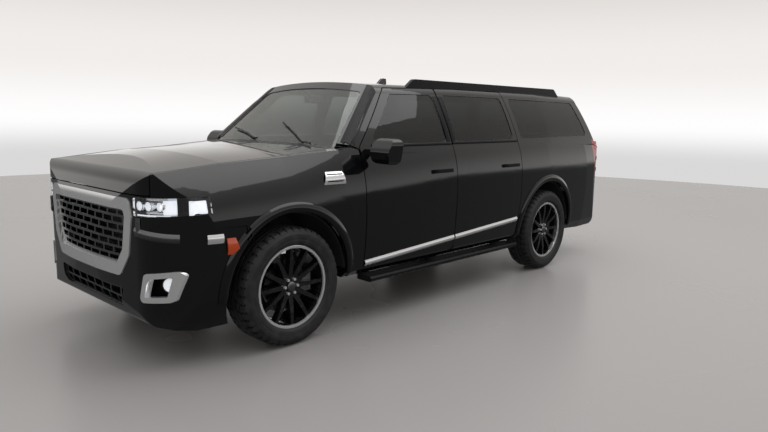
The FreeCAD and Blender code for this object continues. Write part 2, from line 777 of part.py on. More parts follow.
def chassis():
    """Ladder frame: two rails with a rise over the rear axle, cross members and the tow hitch socket."""
    half = rail_width / 2
    rise = [
        (nose_y + 300, rail_bottom), (rear_axle_y - 620, rail_bottom), (rear_axle_y - 330, 470),
        (rear_axle_y + 330, 470), (rear_axle_y + 620, 380), (tail_y - 180, 380), (tail_y - 180, rail_top),
        (rear_axle_y + 600, rail_top), (rear_axle_y + 300, floor_z - seat_gap),
        (rear_axle_y - 300, floor_z - seat_gap), (rear_axle_y - 400, rail_top), (nose_y + 300, rail_top),
    ]
    rail = prism_x(rise, 40, rail_x - half, rail_x + half)
    pieces = [rail, mirrored(rail)]
    member_low = rail_bottom + 10
    for y, z in ((nose_y + 340, member_low), (front_axle_y, member_low), (cowl_y + 500, member_low),
                 (door_split_y + 200, member_low), (rear_axle_y - 700, member_low),
                 (rear_axle_y + 40, rear_member_z), (tail_y - 240, tail_member_z)):
        pieces.append(block(half - rail_x, rail_x - half, y - 50, y + 50, z, z + 34))
    for y in (door_front_y + 150, door_split_y - 100, door_rear_y - 150):
        arm = block(rail_x + half, board_inner_x, y - 30, y + 30, board_z - 14, board_z + 14)
        pieces += [arm, mirrored(arm)]
    return Part.makeCompound(pieces + [hitch_socket()])


def hitch_socket():
    """Square tow hitch socket on two plates under the last cross member, with its cross pin bore."""
    y0, y1 = tail_y - 290, tail_y - 50
    half = hitch_outer / 2
    tube = block(-half, half, y0, y1, hitch_z - half, hitch_z + half)
    plates = block(-half - 10, half + 10, y0, y0 + 100, hitch_z - 20, tail_member_z)
    hole = block(-hitch_inner / 2, hitch_inner / 2, y0 - 10, y1 + 10, hitch_z - hitch_inner / 2, hitch_z + hitch_inner / 2)
    between = block(-half, half, y0 - 10, y0 + 110, hitch_z + half, tail_member_z + 10)
    pin = rod_x(hitch_pin_radius, -hitch_outer, hitch_outer, y1 - 66, hitch_z)
    return tube.fuse(plates).cut([hole, between, pin])


def running_board():
    edge = board_inner_x + seat_gap
    points = [
        (edge, board_z - 20), (1000, board_z - 24), (1018, board_z - 8), (1018, board_z + 8),
        (1000, board_z + 20), (edge, board_z + 20),
    ]
    return prism_y(points, 8, door_front_y + 40, door_rear_y - 60)


def front_suspension():
    """Left upper and lower arms, with the bracket that carries them on the rail."""
    inner = rail_x + rail_width / 2 + seat_gap
    points = [
        (inner, front_axle_y - 130), (inner, front_axle_y + 130), (kingpin_x, front_axle_y + 34),
        (kingpin_x + 20, front_axle_y), (kingpin_x, front_axle_y - 34),
    ]
    reach = knuckle_height + seat_gap
    lower = prism_z(points, [0, 0, 20, 20, 20], tyre_radius - reach - 26, tyre_radius - reach)
    upper = prism_z(points, [0, 0, 20, 20, 20], tyre_radius + reach, tyre_radius + reach + 26)
    bracket = block(inner, inner + 30, front_axle_y - 130, front_axle_y + 130, tyre_radius - reach, tyre_radius + reach)
    return joined([lower, upper, bracket])


def rear_suspension():
    """Final drive, half shafts, arms and hub carriers, joined across the vehicle."""
    z = tyre_radius
    y = rear_axle_y
    drive = block(-130, 130, y - 150, y + 130, z - 120, rear_member_z - seat_gap)
    shaft = rod_x(24, 100, wheel_x - 60, y, z)
    spindle = rod_x(30, wheel_x - 150, wheel_x + 40, y, z)
    carrier = block(wheel_x - 110, wheel_x - 60, y - 60, y + 60, z - 170, z + 150)
    lower = block(120, wheel_x - 60, y - 50, y + 50, z - 170, z - 140)
    hanger = block(60, 120, y - 50, y + 50, z - 170, z - 60)
    left = [shaft, spindle, carrier, lower, hanger, placed(caliper(), wheel_x, y, z)]
    return joined([drive] + left + [mirrored(p) for p in left])


def engine():
    """Engine and gearbox as one block, on its mounts across the rails."""
    block_y = (front_axle_y - 380, front_axle_y + 340)
    seat_z = rail_top + seat_gap
    mounts = block(-440, 440, front_axle_y - 60, front_axle_y + 60, seat_z, seat_z + 40)
    return joined([block(-300, 300, block_y[0], block_y[1], 400, 1050), mounts])


def fuel_tank():
    points = [(-340, 352), (340, 352), (340, floor_z - seat_gap), (-340, floor_z - seat_gap)]
    return prism_y(points, 40, door_split_y + 320, rear_axle_y - 780)


def exhaust():
    """Silencer and twin tail pipes behind the rear axle, hung from the last cross member."""
    box = prism_z([(-330, tail_y - 760), (330, tail_y - 760), (330, tail_y - 540), (-330, tail_y - 540)], 60, 300, 372)
    pipe = Part.makeCylinder(32, 470, V(250, tail_y - 570, 336), V(0, 1, 0))
    hanger = block(235, 265, tail_y - 255, tail_y - 225, 340, tail_member_z - seat_gap)
    left = [pipe, hanger]
    return joined([box] + left + [mirrored(p) for p in left])


def dashboard():
    y = cowl_y + 130 + seat_gap
    points = [
        (y, 1210), (y, 860), (y + 120, 830), (y + 300, 960), (y + 360, 1110), (y + 330, 1230), (y + 200, 1270),
    ]
    return prism_x(points, 40, -725, 725)


def steering_wheel():
    corners = [(180 + 17 * math.cos(i * math.pi / 3), 17 * math.sin(i * math.pi / 3)) for i in range(6)]
    ring = Part.Face(Part.makePolygon([V(r, 0, z) for r, z in corners + corners[:1]]))
    ring = ring.revolve(V(0, 0, 0), V(0, 0, 1), 360)
    hub = Part.makeCylinder(62, 40, V(0, 0, -46))
    bars = [block(-180, 180, -18, 18, -30, -12), block(-18, 18, -180, 0, -30, -12)]
    wheel = joined([ring, hub] + bars)
    column = Part.makeCylinder(28, 300, V(0, 0, -340))
    wheel = wheel.fuse(column)
    wheel.rotate(V(0, 0, 0), V(1, 0, 0), -65)
    wheel.translate(V(400, cowl_y + 720, 1165))
    return wheel.cut(dashboard())


def seat(width, x, y, height=560):
    """One seat: cushion, raked back and head restraint, standing on a low base."""
    base = block(-width / 2 + 60, width / 2 - 60, 30, 430, floor_z + floor_thickness + seat_gap, 785)
    cushion = prism_x([(0, 760), (0, 900), (500, 870), (520, 760)], [0, 60, 0, 0], -width / 2, width / 2)
    back = prism_x([(430, 800), (560, 800), (730, 800 + height + 60), (620, 800 + height + 60)], [0, 0, 50, 0], -width / 2 + 20, width / 2 - 20)
    rest = prism_x([(640, 800 + height + 80), (730, 800 + height + 80), (760, 800 + height + 220), (670, 800 + height + 220)], [0, 0, 30, 0], -130, 130)
    neck = block(-40, 40, 676, 700, 800 + height + 30, 800 + height + 110)
    return placed(joined([base, cushion, back, rest, neck]), x, y, 0)


def roof_rail():
    y0, y1 = cowl_y + 960, hatch_top_y - 330
    rail = prism_x([(y0, 1830), (y0 + 110, 1912), (y1 - 110, 1916), (y1, 1830)], [6, 60, 60, 6], 655, 690)
    return tidy(rail.cut(cabin_form(0)))


def mirror():
    """Left door mirror: a rounded head on a short arm behind the hinge line."""
    y = door_front_y + mirror_setback
    z = belt_z - 10
    side = prism_x(
        [(y - 62, z - 88), (y + 62, z - 104), (y + 76, z + 92), (y - 20, z + 100), (y - 84, z + 8)],
        [52, 30, 36, 56, 70], mirror_inner_x, mirror_outer_x)
    face = prism_y(
        [(mirror_inner_x, z - 84), (mirror_outer_x - 20, z - 104), (mirror_outer_x, z + 60),
         (mirror_outer_x - 30, z + 102), (mirror_inner_x, z + 96)],
        [40, 60, 60, 50, 40], y - 100, y + 100)
    arm = block(930, mirror_inner_x + 20, y - 34, y + 26, z - 40, z + 12)
    return tidy(joined([side.common(face), arm]).cut(outer))


def door_handle(y):
    bar = prism_z([(1006, y - 120), (1036, y - 110), (1036, y + 110), (1006, y + 120)], [4, 20, 20, 4],
                  handle_z, handle_z + 30)
    feet = block(960, 1026, y - 110, y - 70, handle_z + 2, handle_z + 28)
    return bar.fuse([feet, placed(feet, 0, 180, 0)])


parts = {}
parts["tail_lamps"] = both_sides(tidy(shell.copy().common(tail_lamp_region(0))))
front_door = side_door(front_door_outline(), front_window_outline())
rear_door = side_door(rear_door_outline(), rear_window_outline())
front_door = joined([front_door, tidy(door_handle(door_split_y - 200).cut(under_skin))] + [
    door_hinge(door_front_y, z, "leaf") for z in door_hinge_heights])
rear_door = joined([rear_door, tidy(door_handle(door_rear_y - 200).cut(under_skin))] + [
    door_hinge(door_split_y + panel_gap, z, "leaf") for z in door_hinge_heights])
side = body_side()
shell_sides = Part.makeCompound([side, mirrored(side)])
wing = front_fender()
parts["front_door_left"] = front_door
parts["rear_door_left"] = rear_door
parts["front_glass_left"] = tidy(window_glass(front_window_outline()))
parts["rear_glass_left"] = tidy(window_glass(rear_window_outline()))
parts["mirror_left"] = mirror()
parts["knuckle_left"] = placed(make_knuckle(), wheel_x, front_axle_y, tyre_radius)
wheel = make_wheel()
tyre = make_tyre()
for end, y in (("front", front_axle_y), ("rear", rear_axle_y)):
    parts["wheel_%s_left" % end] = placed(wheel, wheel_x, y, tyre_radius)
    parts["tyre_%s_left" % end] = placed(tyre, wheel_x, y, tyre_radius)
for name in [n for n in parts if n.endswith("left")]:
    parts[name.replace("left", "right")] = mirrored(parts[name])

parts["body_sides"] = shell_sides
parts["front_wings"] = both_sides(wing)
parts["fixed_glass"] = Part.makeCompound([
    both_sides(largest(window_glass(quarter_window_outline()))),
    largest(glass_layer.common(windscreen_region(seat_gap)))])
parts["hatch_glass"] = tidy(glass_layer.common(
    prism_y(grown(back_window_outline(), -seat_gap), 70, tail_y - 600, tail_y + 200)))
parts["roof"] = roof()
parts["hood"] = hood()
parts["cowl"] = cowl()
parts["hatch"] = hatch()
parts["front_bumper"] = tidy(front_bumper())
parts["rear_bumper"] = tidy(rear_bumper())
parts["grille_surround"] = tidy(grille_surround())
parts["grille_mesh"] = Part.makeCompound([
    tidy(lattice(grown(grille_outline(), -grille_frame - seat_gap), 40, 9, 7, 16)),
    tidy(lattice(grown(lower_grille_outline(), -seat_gap), 20, 8, 2, 14))])
parts["lamp_surrounds"] = both_sides(tidy(lamp_surround()))
parts["headlamps"] = both_sides(tidy(headlamp()))
parts["floor_pan"] = tidy(floor_pan())
parts["front_structure"] = front_structure()
parts["wheel_liners"] = Part.makeCompound([
    both_sides(wheel_liner(rear_axle_y, 640, 640)), both_sides(wheel_liner(front_axle_y, inner_wing_x, 700))])
parts["chassis"] = chassis()
parts["running_boards"] = both_sides(running_board())
parts["front_suspension"] = both_sides(front_suspension())
parts["rear_suspension"] = rear_suspension()
parts["engine"] = engine()
parts["fuel_tank"] = fuel_tank()
parts["exhaust"] = exhaust()
parts["dashboard"] = dashboard()
parts["steering_wheel"] = tidy(steering_wheel())
parts["front_seats"] = both_sides(seat(520, 400, cowl_y + 1000))
parts["rear_seats"] = Part.makeCompound([
    both_sides(seat(520, 400, cowl_y + 2000)), seat(1180, 0, cowl_y + 2960, 500)])
parts["roof_rails"] = both_sides(roof_rail())

os.makedirs("parts", exist_ok=True)
for old in os.listdir("parts"):
    os.remove(os.path.join("parts", old))
for name, shape in sorted(parts.items()):
    shape.exportStep("parts/%s.step" % name)
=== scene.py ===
"""Looks of a long-wheelbase sport utility vehicle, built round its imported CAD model.

The front faces -Y, the vehicle's left is +X and up is +Z. Lengths are metres.
"""
import math

import bmesh
import bpy
from mathutils import Matrix, Vector
from mathutils.bvhtree import BVHTree


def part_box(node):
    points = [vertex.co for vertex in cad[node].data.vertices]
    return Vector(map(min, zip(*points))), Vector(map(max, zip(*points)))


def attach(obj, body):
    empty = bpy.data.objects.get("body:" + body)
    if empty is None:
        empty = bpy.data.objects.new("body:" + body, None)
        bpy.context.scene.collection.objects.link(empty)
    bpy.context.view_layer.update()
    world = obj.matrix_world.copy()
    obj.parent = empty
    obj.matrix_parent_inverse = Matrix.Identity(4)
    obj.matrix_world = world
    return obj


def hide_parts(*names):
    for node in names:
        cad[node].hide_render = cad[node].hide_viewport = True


bl_info = {
    "name": "Sport utility vehicle",
    "version": (1, 0, 0),
    "blender": (4, 5, 0),
    "location": "View3D > Sidebar > Vehicle",
    "description": "Dresses the packed CAD model of a sport utility vehicle",
    "category": "Object",
}

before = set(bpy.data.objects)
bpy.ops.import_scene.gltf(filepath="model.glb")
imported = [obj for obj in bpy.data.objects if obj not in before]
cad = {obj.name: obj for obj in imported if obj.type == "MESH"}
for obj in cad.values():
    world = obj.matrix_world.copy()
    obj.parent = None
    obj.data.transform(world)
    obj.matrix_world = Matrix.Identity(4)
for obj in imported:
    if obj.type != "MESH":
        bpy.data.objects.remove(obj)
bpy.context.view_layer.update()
materials = {}

SIDES = (("left", 1), ("right", -1))
ENDS = ("front", "rear")

# Where rays towards the vehicle start, outside of it
RAY_SIDE, RAY_END, RAY_TOP = 3.0, 5.0, 4.0


def middle_of(node):
    """Middle of a CAD node's box."""
    low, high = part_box(node)
    return (low + high) / 2


# Places read from the CAD frame
front_hub = middle_of("wheel_front_left")
rear_hub = middle_of("wheel_rear_left")
tyre_low, tyre_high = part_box("tyre_front_left")
tyre_radius = (tyre_high.z - tyre_low.z) / 2
tyre_half = (tyre_high.x - tyre_low.x) / 2


# Shader nodes
def label(key):
    """Label of a socket from a keyword, so that coat_ior gives Coat IOR."""
    return key.replace("_", " ").title().replace("Ior", "IOR")


def feed(tree, socket, value):
    """Links a field to a socket, or sets the socket's own value."""
    if isinstance(value, Field):
        tree.links.new(value.socket, socket)
    elif socket.type == "RGBA" and len(value) == 3:
        socket.default_value = (*value, 1.0)
    else:
        socket.default_value = value


def set_stops(ramp, stops):
    """Gives a ramp its (position, colour) stops, eased between them."""
    ramp.interpolation = "EASE"
    while len(ramp.elements) < len(stops):
        ramp.elements.new(0.5)
    for element, (position, colour) in zip(ramp.elements, stops):
        element.position = position
        element.color = (*colour, 1)


def add_node(tree, kind, output=0, settings=None, **values):
    """Adds a node of a kind, sets it up, feeds its sockets and gives one output as a field.

    A socket goes by its label, or by input and its number where two have one label.
    """
    node = tree.nodes.new("ShaderNode" + kind)
    for key, value in (settings or {}).items():
        if key == "stops":
            set_stops(node.color_ramp, value)
        else:
            setattr(node, key, value)
    for key, value in values.items():
        index = int(key[5:]) if key.startswith("input") else label(key)
        feed(tree, node.inputs[index], value)
    return Field(tree, node.outputs[output])


class Field:
    """A socket's value in a node tree, on which Python's operators add Math nodes."""

    def __init__(self, tree, socket):
        self.tree = tree
        self.socket = socket

    def math(self, operation, first, second):
        return add_node(self.tree, "Math", 0, {"operation": operation}, input0=first, input1=second)

    def __add__(self, other):
        return self.math("ADD", self, other)

    def __mul__(self, other):
        return self.math("MULTIPLY", self, other)

    def __sub__(self, other):
        return self.math("SUBTRACT", self, other)

    def __rsub__(self, other):
        return self.math("SUBTRACT", other, self)

    __radd__ = __add__
    __rmul__ = __mul__

    def rising(self, low, high):
        """0 below low, 1 above high and a smooth step between them."""
        smooth = {"interpolation_type": "SMOOTHSTEP"}
        return add_node(self.tree, "MapRange", "Result", smooth, value=self, from_min=low, from_max=high)

    def spread(self, low, high):
        """Goes from low to high as this field goes from 0 to 1."""
        return self * (high - low) + low


class Surface:
    """A material in the making: its tree, its main shader and the nodes that feed it."""

    def __init__(self, name, **values):
        self.material = bpy.data.materials.new(name)
        self.material.use_nodes = True
        self.tree = self.material.node_tree
        self.shader = self.tree.nodes["Principled BSDF"]
        self.set(**values)
        materials[name] = self.material

    def set(self, **values):
        for key, value in values.items():
            feed(self.tree, self.shader.inputs[label(key)], value)

    def node(self, kind, output=0, settings=None, **values):
        return add_node(self.tree, kind, output, settings, **values)

    def place(self):
        return self.node("TexCoord", "Object")

    def axis(self, letter):
        return self.node("SeparateXYZ", letter.upper(), vector=self.place())

    def noise(self, scale, detail=3.0):
        return self.node("TexNoise", "Fac", vector=self.place(), scale=scale, detail=detail, roughness=0.55)

    def cells(self, scale, feature="F1"):
        return self.node("TexVoronoi", "Distance", {"feature": feature}, vector=self.place(), scale=scale)

    def blend(self, share, first, second):
        """Colour between two colours."""
        return self.node("Mix", 2, {"data_type": "RGBA"}, input0=share, input6=first, input7=second)

    def bump(self, height, depth, strength=1.0):
        """Relief of a depth in metres from a height of 0 to 1."""
        self.set(normal=self.node("Bump", height=height, distance=depth, strength=strength))


# Materials
def road_dust(surface, clean, dusty):
    """Colour with a film of dust that thins out with height above the road. Returns the film's share."""
    full_height, clean_height, wander = 0.2, 0.6, 0.35
    height = surface.noise(scale=3.0, detail=5.0) * wander + surface.axis("z")
    share = (1 - height.rising(full_height, clean_height)) * surface.noise(scale=40.0, detail=4.0)
    surface.set(base_color=surface.blend(share, clean, dusty))
    return share


def make_body_paint(settings):
    """Near-black paint under a clear coat, dusty low down."""
    surface = Surface(
        "body_paint", coat_weight=1.0, coat_roughness=0.02, coat_ior=1.5, specular_ior_level=0.1)
    dust = road_dust(surface, settings.paint_colour, dusty=(0.02, 0.019, 0.018))
    dust_roughness = 0.25
    surface.set(roughness=dust * dust_roughness + surface.noise(scale=7.0).spread(0.13, 0.18))
    surface.bump(surface.noise(scale=220.0, detail=1.0), depth=0.00002)


def make_bright_trim(settings):
    """Bright plated trim with faint wipe marks."""
    surface = Surface("bright_trim", metallic=0.7, base_color=settings.trim_colour)
    surface.set(roughness=surface.noise(scale=14.0, detail=5.0).spread(0.05, 0.13))


def make_black_trim():
    """Satin black plastic."""
    surface = Surface("black_trim", base_color=(0.008, 0.008, 0.009), specular_ior_level=0.15)
    surface.set(roughness=surface.noise(scale=20.0).spread(0.22, 0.34))
    surface.bump(surface.noise(scale=900.0, detail=2.0), depth=0.00003)


def make_rough_trim():
    """Grained black plastic, dusty low down."""
    surface = Surface("rough_trim")
    road_dust(surface, clean=(0.014, 0.014, 0.015), dusty=(0.09, 0.085, 0.078))
    surface.set(roughness=surface.noise(scale=30.0).spread(0.55, 0.75))
    surface.bump(surface.cells(scale=700.0), depth=0.00015)


def make_dark_alloy(settings):
    """Dark lacquered wheel metal with patches of brake dust."""
    surface = Surface("dark_alloy", metallic=0.75, coat_weight=0.6, coat_roughness=0.05)
    brake_dust, dust_strength = (0.10, 0.09, 0.08), 0.4
    share = surface.noise(scale=25.0, detail=6.0).rising(0.45, 0.8)
    surface.set(base_color=surface.blend(share * dust_strength, settings.wheel_colour, brake_dust))
    surface.set(roughness=share.spread(0.24, 0.39))
    surface.bump(surface.noise(scale=400.0, detail=2.0), depth=0.00002)


def make_tyre_rubber():
    """Rubber with patches of road dirt."""
    surface = Surface("tyre_rubber")
    rubber, dirt, dirt_strength = (0.010, 0.010, 0.011), (0.045, 0.043, 0.040), 0.5
    share = surface.noise(scale=18.0, detail=6.0).rising(0.4, 0.75)
    surface.set(base_color=surface.blend(share * dirt_strength, rubber, dirt))
    surface.set(roughness=share.spread(0.62, 0.77))
    surface.bump(surface.noise(scale=300.0, detail=4.0), depth=0.0002)


def make_glass(name, tint):
    """Clear glass of a tint, with faint wipe marks."""
    surface = Surface(name, base_color=tint, transmission_weight=1.0, ior=1.45)
    haze = 0.03
    surface.set(roughness=surface.noise(scale=4.0, detail=4.0).rising(0.45, 0.9) * haze)
    return surface


def make_window_glass(settings):
    """Dark glass of the side and rear windows."""
    make_glass("tinted_glass", settings.tint_colour)


def make_fixed_glass(settings):
    """Glass that is clear in the windscreen and dark in the windows behind it."""
    surface = make_glass("clear_glass", settings.screen_colour)
    clear_until, dark_from = -0.3, 0.3
    behind = surface.axis("y").rising(clear_until, dark_from)
    surface.set(base_color=surface.blend(behind, settings.screen_colour, settings.tint_colour))


def make_lamp_lens():
    """Clear cover of the headlamps."""
    surface = Surface("lamp_lens", base_color=(0.95, 0.97, 1.0), transmission_weight=1.0, ior=1.45)
    haze = 0.04
    surface.set(roughness=surface.noise(scale=30.0).rising(0.5, 0.9) * haze)


def make_lamp_silver():
    """Reflectors of the lamps."""
    surface = Surface("lamp_silver", metallic=1.0, base_color=(0.80, 0.81, 0.83))
    surface.set(roughness=surface.noise(scale=60.0).spread(0.14, 0.24))


def make_lamp_glow():
    """Lit parts of the lamps."""
    surface = Surface(
        "lamp_glow", base_color=(0.95, 0.96, 1.0), emission_color=(0.93, 0.96, 1.0), emission_strength=0.55)
    surface.set(roughness=surface.noise(scale=60.0).spread(0.1, 0.2))


def make_satin_trim():
    """Dull grey metal of small fittings and the grille's mesh."""
    surface = Surface("satin_trim", metallic=1.0, base_color=(0.20, 0.205, 0.21))
    surface.set(roughness=surface.noise(scale=40.0, detail=5.0).spread(0.22, 0.34))


def make_tail_lens():
    """Red lens with small prisms."""
    surface = Surface("tail_lens", base_color=(0.32, 0.004, 0.004), coat_weight=1.0, coat_roughness=0.03)
    surface.set(roughness=surface.noise(scale=30.0).spread(0.1, 0.16))
    surface.bump(surface.cells(scale=160.0), depth=0.0006, strength=0.5)


def make_amber_lens():
    """Amber lens with small prisms."""
    surface = Surface("amber_lens", base_color=(0.50, 0.06, 0.012), coat_weight=1.0)
    surface.set(roughness=surface.noise(scale=30.0).spread(0.12, 0.18))
    surface.bump(surface.cells(scale=220.0), depth=0.0008, strength=0.6)


def make_seat_leather(settings):
    """Leather with a fine grain and worn patches."""
    surface = Surface("seat_leather", sheen_weight=0.1)
    worn = (0.030, 0.027, 0.025)
    share = surface.noise(scale=12.0, detail=5.0)
    surface.set(base_color=surface.blend(share, settings.leather_colour, worn))
    surface.set(roughness=share.spread(0.38, 0.58))
    surface.bump(surface.cells(scale=420.0, feature="DISTANCE_TO_EDGE").rising(0.0, 0.12), depth=0.0003)


def make_cabin_plastic():
    """Grained plastic of the cabin."""
    surface = Surface("cabin_plastic", base_color=(0.020, 0.020, 0.021))
    surface.set(roughness=surface.noise(scale=25.0).spread(0.5, 0.65))
    surface.bump(surface.cells(scale=900.0), depth=0.0002)


def make_metals():
    """Painted or bare metals of the structure, each with patches of rust or grime."""
    for name, colour, rust, metallic, smooth, rough in (
        ("frame_steel", (0.012, 0.012, 0.013), (0.05, 0.035, 0.025), 0.3, 0.45, 0.8),
        ("cast_metal", (0.22, 0.22, 0.21), (0.12, 0.10, 0.085), 0.9, 0.4, 0.7),
        ("engine_metal", (0.16, 0.16, 0.16), (0.05, 0.045, 0.04), 0.8, 0.4, 0.75),
        ("exhaust_steel", (0.35, 0.33, 0.30), (0.12, 0.08, 0.05), 1.0, 0.3, 0.6),
    ):
        surface = Surface(name, metallic=metallic)
        share = surface.noise(scale=9.0, detail=8.0).rising(0.45, 0.75)
        surface.set(base_color=surface.blend(share, colour, rust))
        surface.set(roughness=share.spread(smooth, rough))
        surface.bump(surface.noise(scale=120.0, detail=6.0), depth=0.0004)


def make_materials(settings):
    """Materials in colours from the settings, then those whose colours are fixed."""
    for make in (
        make_body_paint, make_bright_trim, make_dark_alloy, make_window_glass, make_fixed_glass,
        make_seat_leather,
    ):
        make(settings)
    for make in (
        make_black_trim, make_rough_trim, make_satin_trim, make_tyre_rubber, make_lamp_lens,
        make_lamp_silver, make_lamp_glow, make_tail_lens, make_amber_lens, make_cabin_plastic, make_metals,
    ):
        make()


# Materials of the CAD nodes
NODE_SLOTS = {
    "body_paint": (
        "body_sides", "front_wings", "roof", "hood", "hatch", "front_bumper", "rear_bumper",
        "front_door_left", "front_door_right", "rear_door_left", "rear_door_right",
        "mirror_left", "mirror_right"),
    "bright_trim": ("grille_surround", "lamp_surrounds"),
    "satin_trim": ("grille_mesh",),
    "black_trim": ("cowl", "running_boards", "roof_rails"),
    "rough_trim": ("wheel_liners",),
    "dark_alloy": ("wheel_front_left", "wheel_front_right", "wheel_rear_left", "wheel_rear_right"),
    "tyre_rubber": ("tyre_front_left", "tyre_front_right", "tyre_rear_left", "tyre_rear_right"),
    "tinted_glass": (
        "hatch_glass", "rear_glass_left", "rear_glass_right", "front_glass_left", "front_glass_right"),
    "clear_glass": ("fixed_glass",),
    "lamp_lens": ("headlamps",),
    "tail_lens": ("tail_lamps",),
    "frame_steel": ("chassis", "front_structure", "floor_pan", "fuel_tank"),
    "cast_metal": ("front_suspension", "rear_suspension", "knuckle_left", "knuckle_right"),
    "engine_metal": ("engine",),
    "exhaust_steel": ("exhaust",),
    "seat_leather": ("front_seats", "rear_seats"),
    "cabin_plastic": ("dashboard", "steering_wheel"),
}


def paint_nodes():
    """Gives every CAD node its material."""
    for name, members in NODE_SLOTS.items():
        for member in members:
            mesh = cad[member].data
            mesh.materials.clear()
            mesh.materials.append(materials[name])


# Tools that shape the pieces
class Skin:
    """Surface of some CAD nodes, found by rays."""

    def __init__(self, *names):
        shape = bmesh.new()
        for name in names:
            shape.from_mesh(cad[name].data)
        self.tree = BVHTree.FromBMesh(shape)
        shape.free()

    def cast(self, start, along):
        point, normal, _, _ = self.tree.ray_cast(Vector(start), Vector(along))
        return (point, normal) if point else (None, None)

    def side(self, y, z, sign=1):
        return self.cast((sign * RAY_SIDE, y, z), (-sign, 0, 0))

    def inner(self, y, z, sign=1):
        """Side as seen from the middle of the cabin."""
        return self.cast((0, y, z), (sign, 0, 0))

    def front(self, x, z):
        return self.cast((x, -RAY_END, z), (0, 1, 0))

    def back(self, x, z):
        return self.cast((x, RAY_END, z), (0, -1, 0))

    def top(self, x, y):
        return self.cast((x, y, RAY_TOP), (0, 0, -1))


def show(shape, name, slot, body="vehicle", sharp=35, replaced=()):
    """Turns a bmesh into a shaded object that rides on a body of the vehicle."""
    mesh = bpy.data.meshes.new(name)
    shape.to_mesh(mesh)
    shape.free()
    for polygon in mesh.polygons:
        polygon.use_smooth = True
    mesh.set_sharp_from_angle(angle=math.radians(sharp))
    mesh.materials.append(materials[slot])
    made = bpy.data.objects.new(name, mesh)
    bpy.context.scene.collection.objects.link(made)
    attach(made, body)
    if replaced:
        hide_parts(*replaced)
    return made


def between(a, b, share):
    """Value at a share of the way from a to b."""
    return a + (b - a) * share


def turn_x(shape, profile, centre, steps):
    """Spins a closed profile of (x, radius) points a full turn about the X line through centre."""
    x, y, z = centre
    verts = [shape.verts.new((x + a, y, z + r)) for a, r in profile]
    edges = [shape.edges.new(pair) for pair in zip(verts, verts[1:] + verts[:1])]
    bmesh.ops.spin(
        shape, geom=edges + verts, cent=centre, axis=(1, 0, 0), dvec=(0, 0, 0), angle=math.tau, steps=steps,
        use_merge=True, use_duplicate=False)
    bmesh.ops.recalc_face_normals(shape, faces=shape.faces)


def brick(shape, low, high, round_off=0.0, segments=2):
    """Block between two corners, its edges rounded where round_off is given. Returns its vertices."""
    low, high = Vector(low), Vector(high)
    place = Matrix.Translation((low + high) / 2) @ Matrix.Diagonal((*(high - low), 1))
    verts = bmesh.ops.create_cube(shape, size=1.0, matrix=place)["verts"]
    if round_off:
        edges = list({edge for vert in verts for edge in vert.link_edges})
        verts = bmesh.ops.bevel(
            shape, geom=edges, offset=round_off, offset_type="OFFSET", segments=segments, profile=0.5,
            affect="EDGES", material=-1)["verts"]
    return verts


def rod(shape, start, end, radius, segments=24, end_radius=None):
    """Capped cylinder or cone between two points."""
    start, end = Vector(start), Vector(end)
    along = end - start
    place = Matrix.Translation((start + end) / 2) @ along.to_track_quat("Z", "Y").to_matrix().to_4x4()
    bmesh.ops.create_cone(
        shape, cap_ends=True, segments=segments, radius1=radius,
        radius2=radius if end_radius is None else end_radius, depth=along.length, matrix=place)


def tube(shape, centre, radii, length, wall, segments, tilt=0.0):
    """Open pipe with a radius at each end, upright, or tipped over about X by an angle."""
    place = Matrix.Translation(centre) @ Matrix.Rotation(tilt, 4, "X")
    verts = bmesh.ops.create_cone(
        shape, cap_ends=False, segments=segments, radius1=radii[0], radius2=radii[1], depth=length,
        matrix=place)["verts"]
    faces = list({face for vert in verts for face in vert.link_faces})
    bmesh.ops.solidify(shape, geom=faces, thickness=wall)


def ball(shape, centre, radius, squash, segments, rings=12):
    """Sphere with a factor of squash for each axis."""
    place = Matrix.Translation(centre) @ Matrix.Diagonal((*squash, 1))
    bmesh.ops.create_uvsphere(shape, u_segments=segments, v_segments=rings, radius=radius, matrix=place)


def draped(shape, find, place, across, along, thickness, lift=0.0, swell=0.0):
    """Lays a grid on a skin and gives it a thickness towards the skin.

    place(u, v), with u and v from 0 to 1, gives the numbers that find takes. lift moves the grid off the
    skin, and swell raises the middle of the strip over its edges.
    """
    grid = bmesh.ops.create_grid(shape, x_segments=along, y_segments=across, size=0.5)["verts"]
    faces = {face for vert in grid for face in vert.link_faces}
    lost = []
    for vert in grid:
        u, v = vert.co.x + 0.5, vert.co.y + 0.5
        point, normal = find(*place(u, v))
        if point is None:
            lost.append(vert)
        else:
            vert.co = point + normal * (lift + swell * math.sin(math.pi * v))
    bmesh.ops.delete(shape, geom=lost, context="VERTS")
    faces = [face for face in faces if face.is_valid]
    bmesh.ops.recalc_face_normals(shape, faces=faces)
    bmesh.ops.solidify(shape, geom=faces, thickness=-thickness)


def strip(name, slot, body, find, place, across, along, thickness, lift=0.0, swell=0.0):
    """One draped grid as an object of its own."""
    shape = bmesh.new()
    draped(shape, find, place, across, along, thickness, lift, swell)
    show(shape, name, slot, body)


def patch(a, b, *rest):
    """Place function for a rectangle on a skin. a and b are (low, high) pairs, rest is passed on."""
    return lambda u, v: (between(*a, u), between(*b, v), *rest)


def slope(run, heights, width, sign):
    """Place function for a strip of a width along a sloping line on a side."""
    return lambda u, v: (between(*run, u), between(*heights, u) + (v - 0.5) * width, sign)


def around(middle, width):
    """The (low, high) pair of a width about a middle."""
    return middle - width / 2, middle + width / 2


def bar_on(name, slot, body, find, place, steps, lift, radius, segments):
    """Thin bar that follows a skin at a height. place(u) gives the numbers that find takes."""
    found = [find(*place(step / steps)) for step in range(steps + 1)]
    points = [point + normal * lift for point, normal in found if point is not None]
    shape = bmesh.new()
    for start, end in zip(points, points[1:]):
        rod(shape, start, end, radius, segments)
    show(shape, name, slot, body)


